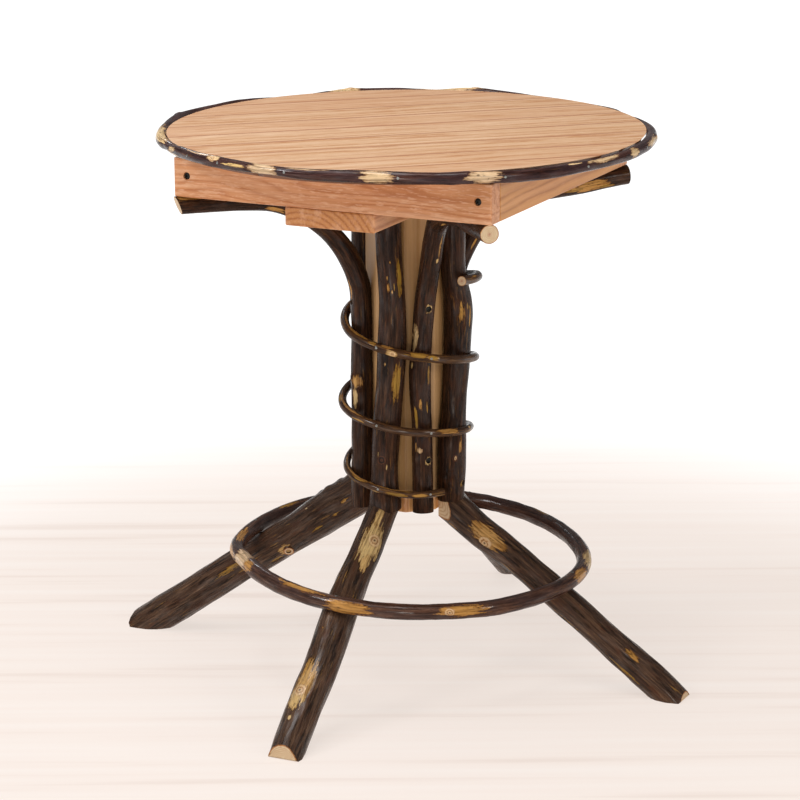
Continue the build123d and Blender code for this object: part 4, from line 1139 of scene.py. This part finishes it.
# boards of the top: their lower edge is drawn in behind the bark twig
board = {"edge": 452, "below": 1052, "drawnIn": 0.952}  # distance out, height, share of the distance kept
hidden = {"top_screws": blackScrew, "batten_screws": blackScrew, "post_lag_bolts": zincBolt}
for name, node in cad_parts.items():
    if name in hidden:
        node.data.materials.clear()
        node.data.materials.append(hidden[name])
    if name.startswith("top_board"):
        bm = copySolid(name)
        for v in bm.verts:
            if v.co.xy.length > board["edge"] * mm and v.co.z < board["below"] * mm:
                v.co.x, v.co.y = v.co.x * board["drawnIn"], v.co.y * board["drawnIn"]
        bmesh.ops.recalc_face_normals(bm, faces=bm.faces)
        piece = makeObject("topBoard" + name[-1], bm, [topWood])
        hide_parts(name)
print("boards of the top made, hidden fasteners dressed")

# metres where the pale floor starts to fade and is white, the turn of its lines, and the light all round
stage = {"near": 0.9, "far": 2.4, "lineTurn": 25.9, "world": 0.22}


def makeFloor():
    # a light table: most of its light is its own, so that the shadows on it stay faint
    material, tree = newMaterial("paleFloor")
    place = addNode(tree, "TexCoord")["Object"]
    away = addNode(tree, "VectorMath", {0: place}, operation="LENGTH")["Value"]
    fade = addNode(tree, "MapRange", {
        "Value": away, "From Min": stage["near"], "From Max": stage["far"],
    }, interpolation_type="SMOOTHSTEP")[0]
    along = addNode(tree, "Mapping", {
        "Vector": place, "Rotation": (0, 0, math.radians(stage["lineTurn"])), "Scale": (1.2, 0.045, 1),
    }, vector_type="TEXTURE")[0]
    haze = addNode(tree, "TexNoise", {"Vector": along, "Scale": 1.0, "Detail": 4.0})["Fac"]
    limed = [(0.28, "#eddfd6"), (0.42, "#f5e9e1"), (0.7, "#f7ede6")]  # faint lines of limed boards
    cream = addNode(tree, "ValToRGB", {"Fac": haze}, limed)["Color"]
    cream = addNode(tree, "Mix", {0: fade, 6: cream, 7: "#ffffff"}, data_type="RGBA")[2]
    dressSurface(tree, {
        "Base Color": addNode(tree, "Mix", {0: 0.8, 6: cream, 7: "#000000"}, data_type="RGBA")[2],
        "Emission Color": cream, "Emission Strength": addUp(tree, 0.8, (fade, 0.3)),
        "Roughness": 0.8, "Specular IOR Level": 0.1,
    })
    bm = bmesh.new()
    bmesh.ops.create_grid(bm, x_segments=1, y_segments=1, size=30)
    mesh = bpy.data.meshes.new("floor")
    bm.to_mesh(mesh)
    bm.free()
    mesh.materials.append(material)
    floor = bpy.data.objects.new("floor", mesh)
    floor.location = (0, 0, -0.0005)  # just under the soles
    bpy.context.scene.collection.objects.link(floor)


makeFloor()
scene = bpy.context.scene
world = scene.world or bpy.data.worlds.new("studio")
scene.world = world
world.use_nodes = True
sky = world.node_tree
fillSockets(sky, sky.nodes["Background"], {"Color": "#ffffff", "Strength": stage["world"]})

lights = [  # name, place, size, watts, tint: a large soft box overhead, smaller ones round the table
    ("overheadSoftbox", (-0.4, -0.8, 4.6), 3.0, 165, "#ffffff"),
    ("leftSoftbox", (-2.6, -3.4, 3.6), 1.2, 90, "#fbfcff"),
    ("rightSoftbox", (4.2, -1.4, 2.6), 1.2, 45, "#fff8f0"),
    ("frontSoftbox", (1.7, -4.4, 0.8), 1.2, 34, "#fff6ec"),
    ("backSoftbox", (-2.6, 2.6, 2.6), 0.35, 4, "#f6f9ff"),
]
for name, place, size, power, tint in lights:
    data = bpy.data.lights.new(name, "AREA")
    data.shape, data.size, data.energy = "SQUARE", size, power
    data.color = hexColour(tint)[:3]
    light = bpy.data.objects.new(name, data)
    light.location = place
    light.rotation_euler = (Vector((0, 0, 0.6)) - Vector(place)).to_track_quat("-Z", "Y").to_euler()
    scene.collection.objects.link(light)

view = {"lens": 138.684, "place": (2.532625, -5.234785, 2.091790), "turn": (74.96996, 0.299403, 25.88335)}
cameraData = bpy.data.cameras.new("camera")
cameraData.lens, cameraData.sensor_width, cameraData.clip_end = view["lens"], 36, 100
camera = bpy.data.objects.new("camera", cameraData)
camera.location = view["place"]
camera.rotation_euler = [math.radians(angle) for angle in view["turn"]]
scene.collection.objects.link(camera)
scene.camera = camera
scene.view_settings.view_transform = "Standard"
print("stage set")
